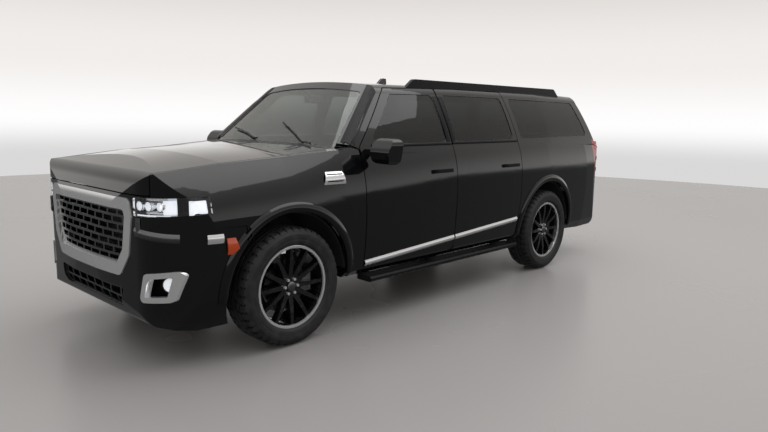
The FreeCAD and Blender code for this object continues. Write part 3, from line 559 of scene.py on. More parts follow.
# Trim of the sides
def make_mouldings(settings):
    """Bright strips low on the doors, in one line that rises to the rear."""
    low, high = settings.moulding_heights
    margin, rear_margin, split_margin = 0.012, 0.05, 0.006
    thickness, swell = 0.004, 0.010
    for side, sign in SIDES:
        front, rear = "front_door_" + side, "rear_door_" + side
        front_low, front_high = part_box(front)
        rear_low, rear_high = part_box(rear)
        start, end = front_low.y + margin, rear_high.y - rear_margin
        middle = between(low, high, (front_high.y - start) / (end - start))
        for row, node, run, heights in (
            ("front", front, (start, front_high.y - split_margin), (low, middle)),
            ("rear", rear, (rear_low.y + margin, end), (middle, high)),
        ):
            strip("moulding_%s_%s" % (row, side), "bright_trim", node, Skin(node).side,
                  slope(run, heights, settings.moulding_width, sign), 6, 40, thickness, swell=swell)


def make_window_trim():
    """Seals along the belt and gloss covers on the pillar between the doors."""
    seal_width, seal_drop, seal_relief, seal_start, seal_end = 0.020, 0.012, 0.004, 0.014, 0.012
    corner_reach = 0.06
    cover_width, cover_offset, cover_thickness, cover_swell = 0.050, 0.036, 0.003, 0.002
    foot_gap, head_gap = 0.004, 0.012
    for side, sign in SIDES:
        front, rear = "front_door_" + side, "rear_door_" + side
        front_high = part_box(front)[1]
        rear_low, rear_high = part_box(rear)
        glass_low, glass_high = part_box("front_glass_" + side)
        rear_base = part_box("rear_glass_" + side)[0].z
        for node, start, end, base in (
            (front, glass_low.y - corner_reach, front_high.y, glass_low.z),
            (rear, rear_low.y, rear_high.y, rear_base),
        ):
            run = (start + seal_start, end - seal_end)
            heights = around(base - seal_drop, seal_width)
            strip("belt_seal_" + node, "black_trim", node, Skin(node).side, patch(run, heights, sign),
                  6, 40, seal_relief, swell=seal_relief)
        for node, middle in ((front, front_high.y - cover_offset), (rear, rear_low.y + cover_offset)):
            heights = (glass_low.z + foot_gap, glass_high.z - head_gap)
            strip("pillar_cover_" + node, "black_trim", node, Skin(node).side,
                  lambda u, v: (middle + (v - 0.5) * cover_width, between(*heights, u), sign),
                  4, 30, cover_thickness, swell=cover_swell)


def make_wing_vents(settings):
    """Bright vent with three dark slots on each front wing."""
    y, z = settings.vent_place
    length, taper, height, thickness, swell = 0.20, 0.05, 0.085, 0.006, 0.012
    slot_count, slot_pitch, slot_length, slot_height, slot_lift = 3, 0.024, 0.14, 0.008, 0.011
    wings = Skin("front_wings")
    for side, sign in SIDES:
        strip("wing_vent_" + side, "bright_trim", "vehicle", wings.side,
              lambda u, v: (y + (u - 0.5) * (length - taper * v), z + (v - 0.5) * height, sign),
              6, 16, thickness, swell=swell)
        shape = bmesh.new()
        for row in range(slot_count):
            level = z + (row - (slot_count - 1) / 2) * slot_pitch
            place = patch(around(y, slot_length), around(level, slot_height), sign)
            draped(shape, wings.side, place, 2, 10, thickness=0.004, lift=slot_lift)
        show(shape, "vent_slots_" + side, "black_trim")


def make_fuel_flap():
    """Thin dark line round the fuel flap, on the right side."""
    behind_hub, middle_z, radius, line = 0.13, 1.14, 0.088, 0.004
    middle_y = rear_hub.y + behind_hub

    def place(u, v):
        angle, reach = u * math.tau, radius + line * v
        return middle_y + math.cos(angle) * reach, middle_z + math.sin(angle) * reach, -1

    strip("fuel_flap_line", "black_trim", "vehicle", Skin("body_sides").side, place, 2, 64,
          thickness=0.0006, lift=0.0004)


def make_arch_lips(settings):
    """Raised lip round each wheel arch."""
    skins = {"front": Skin("front_wings", "front_bumper"), "rear": Skin("body_sides", "rear_bumper")}
    hubs = {"front": front_hub, "rear": rear_hub}
    reach = settings.arch_radius + settings.arch_gap, settings.arch_radius + settings.arch_lip
    angles = math.radians(-3), math.radians(183)
    rise, thickness, lift, swell = 0.018, 0.004, 0.001, 0.012
    for side, sign in SIDES:
        for end in ENDS:
            centre = hubs[end]

            def place(u, v):
                angle, radius = between(*angles, u), between(*reach, v)
                return centre.y + math.cos(angle) * radius, centre.z + rise + math.sin(angle) * radius, sign

            strip("arch_lip_%s_%s" % (end, side), "body_paint", "vehicle", skins[end].side, place,
                  8, 72, thickness, lift, swell)


# Front end
def make_headlamps(settings):
    """Reflector, three barrels with their bulbs and the light strips inside each headlamp."""
    skin = Skin("headlamps")
    low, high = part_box("headlamps")
    outer_x = high.x - 0.070
    heights = (low.z + 0.003, high.z - 0.004)
    barrel_shares, barrel_height = (0.16, 0.42, 0.68), 0.56
    reflector_depth, barrel_depths, barrel_radii = 0.070, (0.075, 0.022), (0.030, 0.034)
    bulb_radius, bulb_depth, bulb_squash = 0.028, 0.024, (1, 0.45, 1)
    strip_thickness, corner_depth = 0.004, 0.010
    # Shares of the lamp's width and height, counts across and along, and the depth behind the cover
    light_strips = (
        ((0.10, 1.0), (0.03, 0.11), 3, 40, 0.020),
        ((0.80, 1.0), (0.14, 0.90), 8, 12, 0.012),
    )
    corner_run = (low.y + 0.22, high.y - 0.03)
    corner_heights = (low.z + 0.012, high.z - 0.02)
    for side, sign in SIDES:
        def place(u, v):
            return sign * between(settings.lamp_inner_x, outer_x, u), between(*heights, v)

        strip("lamp_reflector_" + side, "lamp_silver", "vehicle", skin.front, place,
              10, 40, thickness=0.003, lift=-reflector_depth)
        faces = [skin.front(*place(share, barrel_height))[0] for share in barrel_shares]
        shape = bmesh.new()
        for face in faces:
            start, end = (face + Vector((0, depth, 0)) for depth in barrel_depths)
            rod(shape, start, end, barrel_radii[0], 28, barrel_radii[1])
        show(shape, "lamp_barrels_" + side, "lamp_silver")
        shape = bmesh.new()
        for face in faces:
            ball(shape, face + Vector((0, bulb_depth, 0)), bulb_radius, bulb_squash, segments=24)
        show(shape, "lamp_bulbs_" + side, "lamp_glow")
        shape = bmesh.new()
        for run, rise, across, along, depth in light_strips:
            draped(shape, skin.front, lambda u, v: place(between(*run, u), between(*rise, v)),
                   across, along, strip_thickness, lift=-depth)
        draped(shape, skin.side, patch(corner_run, corner_heights, sign),
               8, 12, strip_thickness, lift=-corner_depth)
        show(shape, "lamp_strips_" + side, "lamp_glow")


def make_corner_trim(settings):
    """Amber side marker, satin bracket below the headlamp and bright corner piece."""
    nose = Skin("front_bumper", "front_wings", "headlamps")
    y, z = settings.marker_place
    length, taper, lean, height = 0.09, 0.03, 0.02, 0.10
    thickness, lift, swell = 0.004, 0.001, 0.008
    bar_x, bar_z, bar_width = (0.665, 0.90), (0.880, 0.845), 0.05
    post_x, post_z = (0.675, 0.715), (0.968, 0.862)
    corner_y, corner_z = (-2.50, -2.40), around(0.83, 0.055)
    for side, sign in SIDES:
        strip("side_marker_" + side, "amber_lens", "vehicle", nose.side,
              lambda u, v: (y + (u - 0.5) * (length - taper * v) - v * lean, z + (v - 0.5) * height, sign),
              6, 10, thickness=0.010, swell=swell)
        shape = bmesh.new()
        draped(shape, nose.front,
               lambda u, v: (sign * between(*bar_x, u), between(*bar_z, u) + (v - 0.5) * bar_width),
               4, 24, thickness, lift, swell)
        draped(shape, nose.front, lambda u, v: (sign * between(*post_x, v), between(*post_z, u)),
               4, 12, thickness, lift, swell)
        show(shape, "lamp_bracket_" + side, "satin_trim")
        strip("corner_trim_" + side, "bright_trim", "vehicle", nose.side, patch(corner_y, corner_z, sign),
              4, 10, thickness, lift, swell)


def make_lower_lamps():
    """Dark recess with a round lamp in each lower surround."""
    nose = Skin("front_bumper", "front_wings", "headlamps")
    level, inner_x, outer_x = 0.54, 0.66, 0.945
    recess_shares, recess_height, recess_depth = (0.16, 0.90), 0.20, 0.075
    lamp_depths, lamp_radius, glass_radii = (0.072, 0.020, 0.012), 0.050, (0.044, 0.038)
    for side, sign in SIDES:
        inner = nose.front(sign * inner_x, level)[0]
        outer = nose.front(sign * outer_x, level)[0]
        along = Vector((outer.x - inner.x, outer.y - inner.y, 0)).normalized()
        inward = Vector((-along.y, along.x, 0)) * sign

        def recess(share, height):
            return inner + (outer - inner) * share + Vector((0, 0, height)), -inward

        strip("fog_lamp_back_" + side, "black_trim", "vehicle", recess,
              patch(recess_shares, around(0, recess_height)), 4, 4, thickness=0.004, lift=-recess_depth)
        centre = recess(0.50, 0.0)[0]
        back, front, face = (centre + inward * depth for depth in lamp_depths)
        shape = bmesh.new()
        rod(shape, back, front, lamp_radius, segments=32)
        show(shape, "fog_lamp_body_" + side, "satin_trim")
        shape = bmesh.new()
        rod(shape, front, face, glass_radii[0], 32, glass_radii[1])
        show(shape, "fog_lamp_glass_" + side, "lamp_glow")


# Windscreen and mirrors
def make_screen_trim(settings):
    """Dark covers on the windscreen pillars, and the wipers."""
    skin = Skin("fixed_glass", "roof", "body_sides", "cowl")
    foot, head = settings.pillar_foot, settings.pillar_head
    widths = (0.125, 0.10)
    wiper_runs = {"left": (0.62, 0.10), "right": (-0.06, -0.60)}
    wiper_y, wiper_lift, wiper_radius, wiper_steps = (-1.40, -1.24), 0.018, 0.007, 12
    for side, sign in SIDES:
        def place(u, v):
            x = between(foot[0], head[0], u) + (v - 0.5) * between(*widths, u)
            return sign * x, between(foot[1], head[1], u)

        strip("pillar_trim_" + side, "black_trim", "vehicle", skin.top, place,
              6, 40, thickness=0.002, lift=0.0015, swell=0.002)
        bar_on("wiper_" + side, "black_trim", "vehicle", skin.top,
               lambda u: (between(*wiper_runs[side], u), between(*wiper_y, u)),
               wiper_steps, wiper_lift, wiper_radius, 8)


def make_mirror_glass():
    """Silvered glass in each door mirror."""
    inner_margin, outer_margin, edge = 0.125, 0.022, 0.022
    for side, sign in SIDES:
        node = "mirror_" + side
        low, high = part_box(node)
        inner, outer = (low.x, high.x) if sign > 0 else (high.x, low.x)
        width = (inner + sign * inner_margin, outer - sign * outer_margin)
        strip("mirror_glass_" + side, "lamp_silver", "front_door_" + side, Skin(node).back,
              patch(width, (low.z + edge, high.z - edge)), 12, 16, thickness=0.003, lift=0.0005)


# Wheels
def tyre_outline(rim_radius):
    """Closed outline of a tyre as (x, radius) points, with its four main grooves."""
    bead = rim_radius + 0.001
    middle = (rim_radius + tyre_radius) / 2
    # Insets from the widest point with their radii: bead, guard, step, wall, step and shoulder
    wall = (
        (0.022, bead), (0.007, bead + 0.016), (0.003, middle - 0.024), (0.0045, middle - 0.021), (0, middle),
        (0.003, middle + 0.020), (0.005, middle + 0.022), (0.014, tyre_radius - 0.024),
        (0.024, tyre_radius - 0.010), (0.046, tyre_radius),
    )
    groove_middles, mouth, foot, depth = (0.062, 0.022), 0.005, 0.004, 0.008
    right = [(tyre_half - inset, radius) for inset, radius in wall]
    for groove in groove_middles:
        right += [(groove + mouth, tyre_radius), (groove + foot, tyre_radius - depth)]
        right += [(groove - foot, tyre_radius - depth), (groove - mouth, tyre_radius)]
    return right + [(-x, radius) for x, radius in reversed(right)]


def make_tyre(node, body, settings):
    """Tyre with main grooves, cross slots and side wall rings over the CAD tyre's form."""
    steps, slot_depth = 180, 0.006
    shoulder_reach, shoulder_start, shoulder_pitch = tyre_radius - 0.020, 0.068, 4
    rib_reach, rib_start, rib_end, rib_pitch, rib_shift = tyre_radius - 0.002, 0.028, 0.056, 5, 2
    centre = middle_of(node)
    shape = bmesh.new()
    turn_x(shape, tyre_outline(settings.rim_radius), centre, steps)
    slots = []
    for face in shape.faces:
        x, y, z = face.calc_center_median() - centre
        across, reach = abs(x), math.hypot(y, z)
        step = round(math.atan2(y, z) / math.tau * steps + 0.5)
        on_shoulder = reach > shoulder_reach and across > shoulder_start
        on_rib = reach > rib_reach and rib_start < across < rib_end
        if on_shoulder and step % shoulder_pitch == 0:
            slots.append(face)
        elif on_rib and (step + rib_shift) % rib_pitch == 0:
            slots.append(face)
    for face in bmesh.ops.extrude_discrete_faces(shape, faces=slots)["faces"]:
        out = face.calc_center_median() - centre
        out.x = 0
        bmesh.ops.translate(shape, verts=face.verts, vec=-out.normalized() * slot_depth)
    bmesh.ops.recalc_face_normals(shape, faces=shape.faces)
    show(shape, "tread_" + node, "tyre_rubber", body, sharp=30, replaced=(node,))


def make_rim_ring(node, body, sign, settings):
    """Bright ring on the edge of a rim."""
    # Points out from the rim's face and edge
    outline = ((-0.012, -0.020), (0.0025, -0.017), (0.004, -0.008), (0.0025, 0.0005), (-0.006, 0.0005))
    low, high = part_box(node)
    centre = (low + high) / 2
    centre.x = high.x if sign > 0 else low.x
    shape = bmesh.new()
    turn_x(shape, [(sign * out, settings.rim_radius + up) for out, up in outline], centre, steps=96)
    show(shape, "rim_ring_" + node, "bright_trim", body)


def make_hub_trim(node, body, sign, settings):
    """Nuts and cap on the face of a hub."""
    nut_count, nut_circle, nut_radius, nut_foot, nut_length = 6, 0.054, 0.011, 0.004, 0.020
    cap_out, cap_radius, cap_squash = 0.012, 0.034, (0.2, 1, 1)
    low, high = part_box(node)
    face = (low + high) / 2
    face.x = (high.x if sign > 0 else low.x) - sign * settings.hub_depth
    shape = bmesh.new()
    for step in range(nut_count):
        angle = math.tau * step / nut_count
        start = face + Vector((-sign * nut_foot, math.cos(angle) * nut_circle, math.sin(angle) * nut_circle))
        rod(shape, start, start + Vector((sign * nut_length, 0, 0)), nut_radius, segments=6)
    show(shape, "nuts_" + node, "bright_trim", body)
    shape = bmesh.new()
    ball(shape, face + Vector((sign * cap_out, 0, 0)), cap_radius, cap_squash, segments=32)
    show(shape, "cap_" + node, "satin_trim", body)


def make_wheels(settings):
    """Tyre, rim ring and hub trim of each wheel."""
    for end in ENDS:
        for side, sign in SIDES:
            body = "%s_wheel_%s" % (end, side)
            wheel = "wheel_%s_%s" % (end, side)
            make_tyre("tyre_%s_%s" % (end, side), body, settings)
            make_rim_ring(wheel, body, sign, settings)
            make_hub_trim(wheel, body, sign, settings)


# Cabin
def cushion(name, low, high, lean=0.0, channels=(), crown=0.35):
    """Stuffed pad between two corners, with pulled-in sides, a crown and sewn channels.

    channels are places from -1 to 1 along the pad's first wide axis. lean moves the pad back with its height.
    """
    cuts, squareness, pull, channel_width, channel_depth = 13, 7, 0.03, 0.09, 0.10
    low, high = Vector(low), Vector(high)
    centre, half = (high + low) / 2, (high - low) / 2
    shape = bmesh.new()
    bmesh.ops.create_cube(shape, size=2.0)
    bmesh.ops.subdivide_edges(shape, edges=shape.edges, cuts=cuts, use_grid_fill=True)
    thin = min(range(3), key=lambda axis: half[axis])
    first, second = (axis for axis in range(3) if axis != thin)
    for vert in shape.verts:
        point = vert.co.copy()
        u, v = point[first], point[second]
        point /= sum(abs(value) ** squareness for value in point) ** (1 / squareness)
        point[first] *= 1 - pull * (1 - v * v)
        point[second] *= 1 - pull * (1 - u * u)
        point[thin] *= 1 - crown / 2 * (1 - (1 - u * u) * (1 - v * v))
        for channel in channels:
            gap = (u - channel) / channel_width
            point[thin] *= 1 - channel_depth * math.exp(-gap * gap)
        vert.co = centre + Vector(value * size for value, size in zip(point, half))
        vert.co.y += lean * (vert.co.z - low.z)
    bmesh.ops.recalc_face_normals(shape, faces=shape.faces)
    made = show(shape, name, "seat_leather", sharp=60)


def seat_frame(shape, x, y, half, floor_top):
    """Steel box on two rails under a seat."""
    rail_top, box_top, box_inset, box_start, box_end = floor_top + 0.03, 0.765, 0.06, 0.03, 0.43
    rail_inset, rail_half, rail_length = 0.09, 0.025, 0.47
    box_half = half - box_inset
    brick(shape, (x - box_half, y + box_start, rail_top), (x + box_half, y + box_end, box_top),
          round_off=0.02, segments=3)
    for rail in (x - half + rail_inset, x + half - rail_inset):
        brick(shape, (rail - rail_half, y, floor_top), (rail + rail_half, y + rail_length, rail_top),
              round_off=0.004)


def seat_pads(name, x, y, half, top):
    """Cushion and back of a seat."""
    cushion_end, cushion_heights = 0.53, (0.755, 0.895)
    back_start, back_end, back_foot, back_rise, back_inset, lean = 0.435, 0.575, 0.82, 0.10, 0.02, 0.27
    low = (x - half, y, cushion_heights[0])
    high = (x + half, y + cushion_end, cushion_heights[1])
    cushion("seat_cushion_" + name, low, high, channels=(-0.1, 0.45))
    low = (x - half + back_inset, y + back_start, back_foot)
    high = (x + half - back_inset, y + back_end, top + back_rise)
    cushion("seat_back_" + name, low, high, lean, channels=(-0.55, -0.1, 0.35))


def head_rest(shape, name, x, y, top):
    """Head restraint of a seat. Its two posts are part of the frame's shape."""
    half, start, end, foot, head, lean, crown = 0.13, 0.645, 0.735, 0.125, 0.215, 0.25, 0.3
    post_gap, post_radius, post_ends = 0.06, 0.007, ((0.672, 0.04), (0.688, 0.15))
    cushion(name, (x - half, y + start, top + foot), (x + half, y + end, top + head), lean, crown=crown)
    for post in (x - post_gap, x + post_gap):
        low, high = ((post, y + along, top + up) for along, up in post_ends)
        rod(shape, low, high, post_radius, segments=12)


def make_seats():
    """Three rows of seats: pads on steel frames, with head restraints on posts."""
    seat_x, seat_width, seat_top = 0.40, 0.52, 1.36
    bench_width, bench_top, bench_back, bench_rest_x = 1.18, 1.30, 0.96, 0.38
    floor_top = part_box("front_seats")[0].z
    front_y, rear_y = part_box("front_seats")[0].y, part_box("rear_seats")[0].y
    for node, seats in (
        ("front_seats", (("driver", seat_x, front_y), ("passenger", -seat_x, front_y))),
        ("rear_seats", (
            ("second_left", seat_x, rear_y), ("second_right", -seat_x, rear_y),
            ("third", 0.0, rear_y + bench_back))),
    ):
        shape = bmesh.new()
        for name, x, y in seats:
            is_bench = name == "third"
            half, top = (bench_width / 2, bench_top) if is_bench else (seat_width / 2, seat_top)
            seat_frame(shape, x, y, half, floor_top)
            seat_pads(name, x, y, half, top)
            for number, rest_x in enumerate((x - bench_rest_x, x + bench_rest_x) if is_bench else (x,)):
                head_rest(shape, "head_rest_%s_%d" % (name, number), rest_x, y, top)
        show(shape, node.replace("seats", "seat_frames"), "cabin_plastic", replaced=(node,))


def make_door_trims():
    """Trim panel, armrest, pull and speaker cover inside each door."""
    front_margin, rear_margin = 0.14, 0.12
    rest_start, rest_end = 0.12, 0.06
    pull_start, pull_end = 0.10, 0.24
    speaker_along, speaker_z, speaker_radius = 0.12, 0.72, 0.075
    panel_heights = (0.60, 1.20)
    rest_heights = around(0.93, 0.09)
    pull_heights = around(1.08, 0.03)
    for side, sign in SIDES:
        for node in ("front_door_" + side, "rear_door_" + side):
            low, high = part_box(node)
            start, end = low.y + front_margin, high.y - rear_margin
            inner = Skin(node).inner

            def speaker(u, v):
                angle, reach = u * math.tau, speaker_radius * v
                y = start + speaker_along + math.cos(angle) * reach
                return y, speaker_z + math.sin(angle) * reach, sign

            strip("door_trim_" + node, "cabin_plastic", node, inner, patch((start, end), panel_heights, sign),
                  10, 20, thickness=0.010, swell=0.010)
            run = (start + rest_start, end - rest_end)
            strip("armrest_" + node, "seat_leather", node, inner, patch(run, rest_heights, sign),
                  8, 20, thickness=0.020, lift=0.012, swell=0.035)
            run = (start + pull_start, start + pull_end)
            strip("door_pull_" + node, "satin_trim", node, inner, patch(run, pull_heights, sign),
                  4, 8, thickness=0.010, lift=0.012, swell=0.008)
            strip("speaker_" + node, "black_trim", node, inner, speaker, 5, 36, thickness=0.006, lift=0.014)


def make_dashboard_trim():
    """Display, controls, glove box, band and air vents on the dashboard."""
    face = Skin("dashboard").back
    for name, slot, across, heights, thickness, swell in (
        ("centre_display", "black_trim", (-0.15, 0.15), (1.09, 1.20), 0.006, 0.0),
        ("controls_strip", "satin_trim", (-0.14, 0.14), (1.055, 1.075), 0.006, 0.003),
        ("glove_box", "cabin_plastic", (-0.62, -0.22), (0.92, 1.04), 0.005, 0.004),
        ("dash_band", "satin_trim", (-0.66, -0.17), (1.095, 1.115), 0.004, 0.002),
    ):
        strip(name, slot, "vehicle", face, patch(across, heights), 4, 16, thickness, swell=swell)
    vent_heights, vent_width, blade_width = (1.13, 1.19), 0.11, 0.096
    blade_count, blade_start, blade_pitch, blade_height = 4, 1.138, 0.012, 0.006
    for number, x in enumerate((-0.62, -0.22, 0.22, 0.62)):
        strip("vent_frame_%d" % number, "satin_trim", "vehicle", face,
              patch(around(x, vent_width), vent_heights), 4, 16, thickness=0.006)
        for row in range(blade_count):
            z = blade_start + row * blade_pitch
            strip("vent_blade_%d_%d" % (number, row), "black_trim", "vehicle", face,
                  patch(around(x, blade_width), (z, z + blade_height)), 4, 16, thickness=0.003, lift=0.006)


def make_console():
    """Console between the front seats, with its lid and two cup holders."""
    half, start, end, foot, top = 0.12, -0.36, 0.26, 0.58, 0.80
    lid_start, lid_top, lid_inset = -0.02, 0.835, 0.005
    cup_x, cup_y, cup_z, cup_radii, cup_height, cup_wall = 0.05, -0.2, 0.803, (0.038, 0.040), 0.012, 0.003
    lid_half = half - lid_inset
    shape = bmesh.new()
    brick(shape, (-half, start, foot), (half, end, top), round_off=0.02, segments=3)
    brick(shape, (-lid_half, lid_start, top), (lid_half, end, lid_top), round_off=0.012, segments=3)
    show(shape, "centre_console", "cabin_plastic")
    shape = bmesh.new()
    for x in (-cup_x, cup_x):
        tube(shape, (x, cup_y, cup_z), cup_radii, cup_height, cup_wall, segments=32)
    show(shape, "cup_holder_rings", "satin_trim")


def make_cabin_mirror():
    """Mirror on a stalk at the head of the windscreen."""
    foot_y, foot_depth, stalk_radius = -0.93, 0.008, 0.008
    stalk, half = Vector((0, 0.09, -0.06)), Vector((0.12, 0.012, 0.035))
    point, normal = Skin("fixed_glass").top(0, foot_y)
    head = point + stalk
    shape = bmesh.new()
    brick(shape, head - half, head + half, round_off=0.010, segments=3)
    rod(shape, point - normal * foot_depth, head, stalk_radius, segments=12)
    show(shape, "cabin_mirror", "black_trim")


# Engine bay
def make_engine_cover():
    """Cover with five ribs on top of the engine."""
    half, front_margin, rear_margin, gap, height = 0.29, 0.08, 0.12, 0.001, 0.035
    rib_count, rib_half, rib_width, rib_margin, rib_foot, rib_top = 5, 0.22, 0.016, 0.06, 0.034, 0.041
    low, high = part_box("engine")
    start, end = low.y + front_margin, high.y - rear_margin
    shape = bmesh.new()
    brick(shape, (-half, start, high.z + gap), (half, end, high.z + height), round_off=0.012, segments=3)
    for rib in range(rib_count):
        near, far = around(between(start + rib_margin, end - rib_margin, rib / (rib_count - 1)), rib_width)
        brick(shape, (-rib_half, near, high.z + rib_foot), (rib_half, far, high.z + rib_top), round_off=0.003)
    show(shape, "engine_cover", "black_trim")


def make_radiator():
    """Radiator core between two side tanks."""
    core_half, tank_half, foot, top = 0.40, 0.44, 0.60, 1.06
    core_start, core_end, tank_start, tank_end = -2.468, -2.425, -2.470, -2.420
    shape = bmesh.new()
    brick(shape, (-core_half, core_start, foot), (core_half, core_end, top), round_off=0.006)
    for inner, outer in ((-tank_half, -core_half), (core_half, tank_half)):
        brick(shape, (inner, tank_start, foot), (outer, tank_end, top), round_off=0.008)
    show(shape, "radiator", "engine_metal")


def make_cooler():
    """Finned cooler behind the grille."""
    half, start, end, foot, top = 0.46, -2.625, -2.610, 0.28, 1.02
    fin_count, fin_half, fin_start, fin_end, fin_height, fin_margin = 28, 0.45, -2.629, -2.624, 0.008, 0.015
    shape = bmesh.new()
    brick(shape, (-half, start, foot), (half, end, top), round_off=0.004)
    for row in range(fin_count):
        middle = between(foot + fin_margin, top - fin_margin, row / (fin_count - 1))
        low, high = around(middle, fin_height)
        brick(shape, (-fin_half, fin_start, low), (fin_half, fin_end, high))
    show(shape, "cooler_core", "black_trim")


def make_fan():
    """Fan with seven blades in a shroud behind the radiator."""
    centre = Vector((0, -2.40, 0.82))
    shroud_radius, shroud_length, shroud_wall = 0.205, 0.04, 0.006
    hub_start, hub_end, hub_radius = 0.025, 0.015, 0.05
    blade_count, blade_run, blade_depths, blade_half = 7, (0.045, 0.195), (-0.002, 0.004), 0.03
    pitch = math.radians(25)
    pivot = centre + Vector((0, sum(blade_depths) / 2, 0))
    shape = bmesh.new()
    tube(shape, centre, (shroud_radius, shroud_radius), shroud_length, shroud_wall,
         segments=48, tilt=math.pi / 2)
    rod(shape, centre - Vector((0, hub_start, 0)), centre + Vector((0, hub_end, 0)), hub_radius, segments=32)
    for blade in range(blade_count):
        low, high = (
            centre + Vector((x, y, z)) for x, y, z in zip(blade_run, blade_depths, (-blade_half, blade_half)))
        verts = brick(shape, low, high)
        turn = Matrix.Rotation(math.tau * blade / blade_count, 3, "Y") @ Matrix.Rotation(pitch, 3, "X")
        bmesh.ops.rotate(shape, verts=verts, cent=pivot, matrix=turn)
    show(shape, "radiator_fan", "black_trim")


# Rear end
def make_tail_lamps():
    """Raised bars on each tail lamp and a reflector low on the bumper."""
    lamps, bumper = Skin("tail_lamps").back, Skin("rear_bumper").back
    low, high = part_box("tail_lamps")
    bar_count, bar_start, bar_margin, bar_height, foot_margin, head_margin = 3, 0.835, 0.03, 0.05, 0.05, 0.09
    reflector_run, reflector_heights = (0.60, 0.80), around(0.50, 0.045)
    relief = {"thickness": 0.003, "lift": 0.0005, "swell": 0.003}
    for side, sign in SIDES:
        run = (sign * bar_start, sign * (high.x - bar_margin))
        shape = bmesh.new()
        for row in range(bar_count):
            z = between(low.z + foot_margin, high.z - head_margin, row / (bar_count - 1))
            draped(shape, lamps, patch(run, around(z, bar_height)), 4, 8, **relief)
        show(shape, "tail_lamp_bars_" + side, "tail_lens")
        run = (sign * reflector_run[0], sign * reflector_run[1])
        strip("rear_reflector_" + side, "tail_lens", "vehicle", bumper, patch(run, reflector_heights),
              4, 12, **relief)


def make_exhaust_tips():
    """Bright tip on each exhaust pipe."""
    x, z, overhang, radii, length, wall = 0.285, 0.345, 0.02, (0.049, 0.047), 0.09, 0.0025
    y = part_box("exhaust")[1].y + overhang
    for side, sign in SIDES:
        shape = bmesh.new()
        tube(shape, (sign * x, y, z), radii, length, wall, segments=40, tilt=math.pi / 2)
        show(shape, "exhaust_tip_" + side, "bright_trim")


def make_hatch_trim():
    """Bright bar, handle and wiper on the hatch."""
    back = Skin("hatch").back
    bar_half, bar_heights = 0.42, around(1.12, 0.05)
    handle_half, handle_heights = 0.11, around(1.06, 0.03)
    wiper_run, wiper_heights = (-0.02, 0.42), (1.44, 1.47)
    wiper_lift, wiper_radius, wiper_steps = 0.014, 0.007, 8
    strip("hatch_trim_bar", "bright_trim", "hatch", back, patch((-bar_half, bar_half), bar_heights),
          6, 40, thickness=0.004, lift=0.0005, swell=0.012)
    strip("hatch_handle", "black_trim", "hatch", back, patch((-handle_half, handle_half), handle_heights),
          4, 16, thickness=0.006, lift=0.0005, swell=0.004)
    bar_on("rear_wiper", "black_trim", "hatch", Skin("hatch_glass").back,
           lambda u: (between(*wiper_run, u), between(*wiper_heights, u)),
           wiper_steps, wiper_lift, wiper_radius, 10)


# Studio
def aim(thing, position, forward, roll=0.0):
    """Puts a camera or light at a place and turns it to look along a direction."""
    thing.rotation_mode = "QUATERNION"
    turn = Vector(forward).to_track_quat("-Z", "Y").to_matrix()
    thing.rotation_quaternion = (turn @ Matrix.Rotation(roll, 3, "Z")).to_quaternion()
    thing.location = position


def make_camera(settings):
    """Camera at the left front, where the photo was taken from."""
    data = bpy.data.cameras.new("photo_view")
    data.sensor_width = 36.0
    data.lens = data.sensor_width / 2 / math.tan(settings.view_width / 2)
    camera = bpy.data.objects.new("photo_view", data)
    bpy.context.scene.collection.objects.link(camera)
    bpy.context.scene.camera = camera
    turn, drop = settings.view_turn, settings.view_drop
    forward = (-math.sin(turn) * math.cos(drop), math.cos(turn) * math.cos(drop), -math.sin(drop))
    aim(camera, settings.view_place, forward, settings.view_roll)


def make_lamp(settings):
    """Wide soft lamp overhead, aimed at the vehicle."""
    data = bpy.data.lights.new("overhead", "AREA")
    data.shape = "RECTANGLE"
    data.size, data.size_y = settings.lamp_size
    data.energy = settings.lamp_power
    lamp = bpy.data.objects.new("overhead", data)
    bpy.context.scene.collection.objects.link(lamp)
    aim(lamp, settings.lamp_place, -Vector(settings.lamp_place))


def make_floor(settings):
    """Round pale floor with patches of a second tone, just under the tyres."""
    radius, gap, second_tone = 13.0, 0.001, (0.38, 0.37, 0.37)
    mesh = bpy.data.meshes.new("floor")
    shape = bmesh.new()
    bmesh.ops.create_circle(shape, cap_ends=True, segments=128, radius=radius)
    shape.to_mesh(mesh)
    shape.free()
    floor = bpy.data.objects.new("floor", mesh)
    floor.location.z = -gap
    floor.visible_glossy = False
    bpy.context.scene.collection.objects.link(floor)
    surface = Surface("floor", specular_ior_level=0.6)
    surface.set(roughness=surface.noise(scale=0.4).spread(0.25, 0.29))
    surface.set(base_color=surface.blend(surface.noise(scale=0.5), settings.floor_colour, second_tone))
    mesh.materials.append(surface.material)


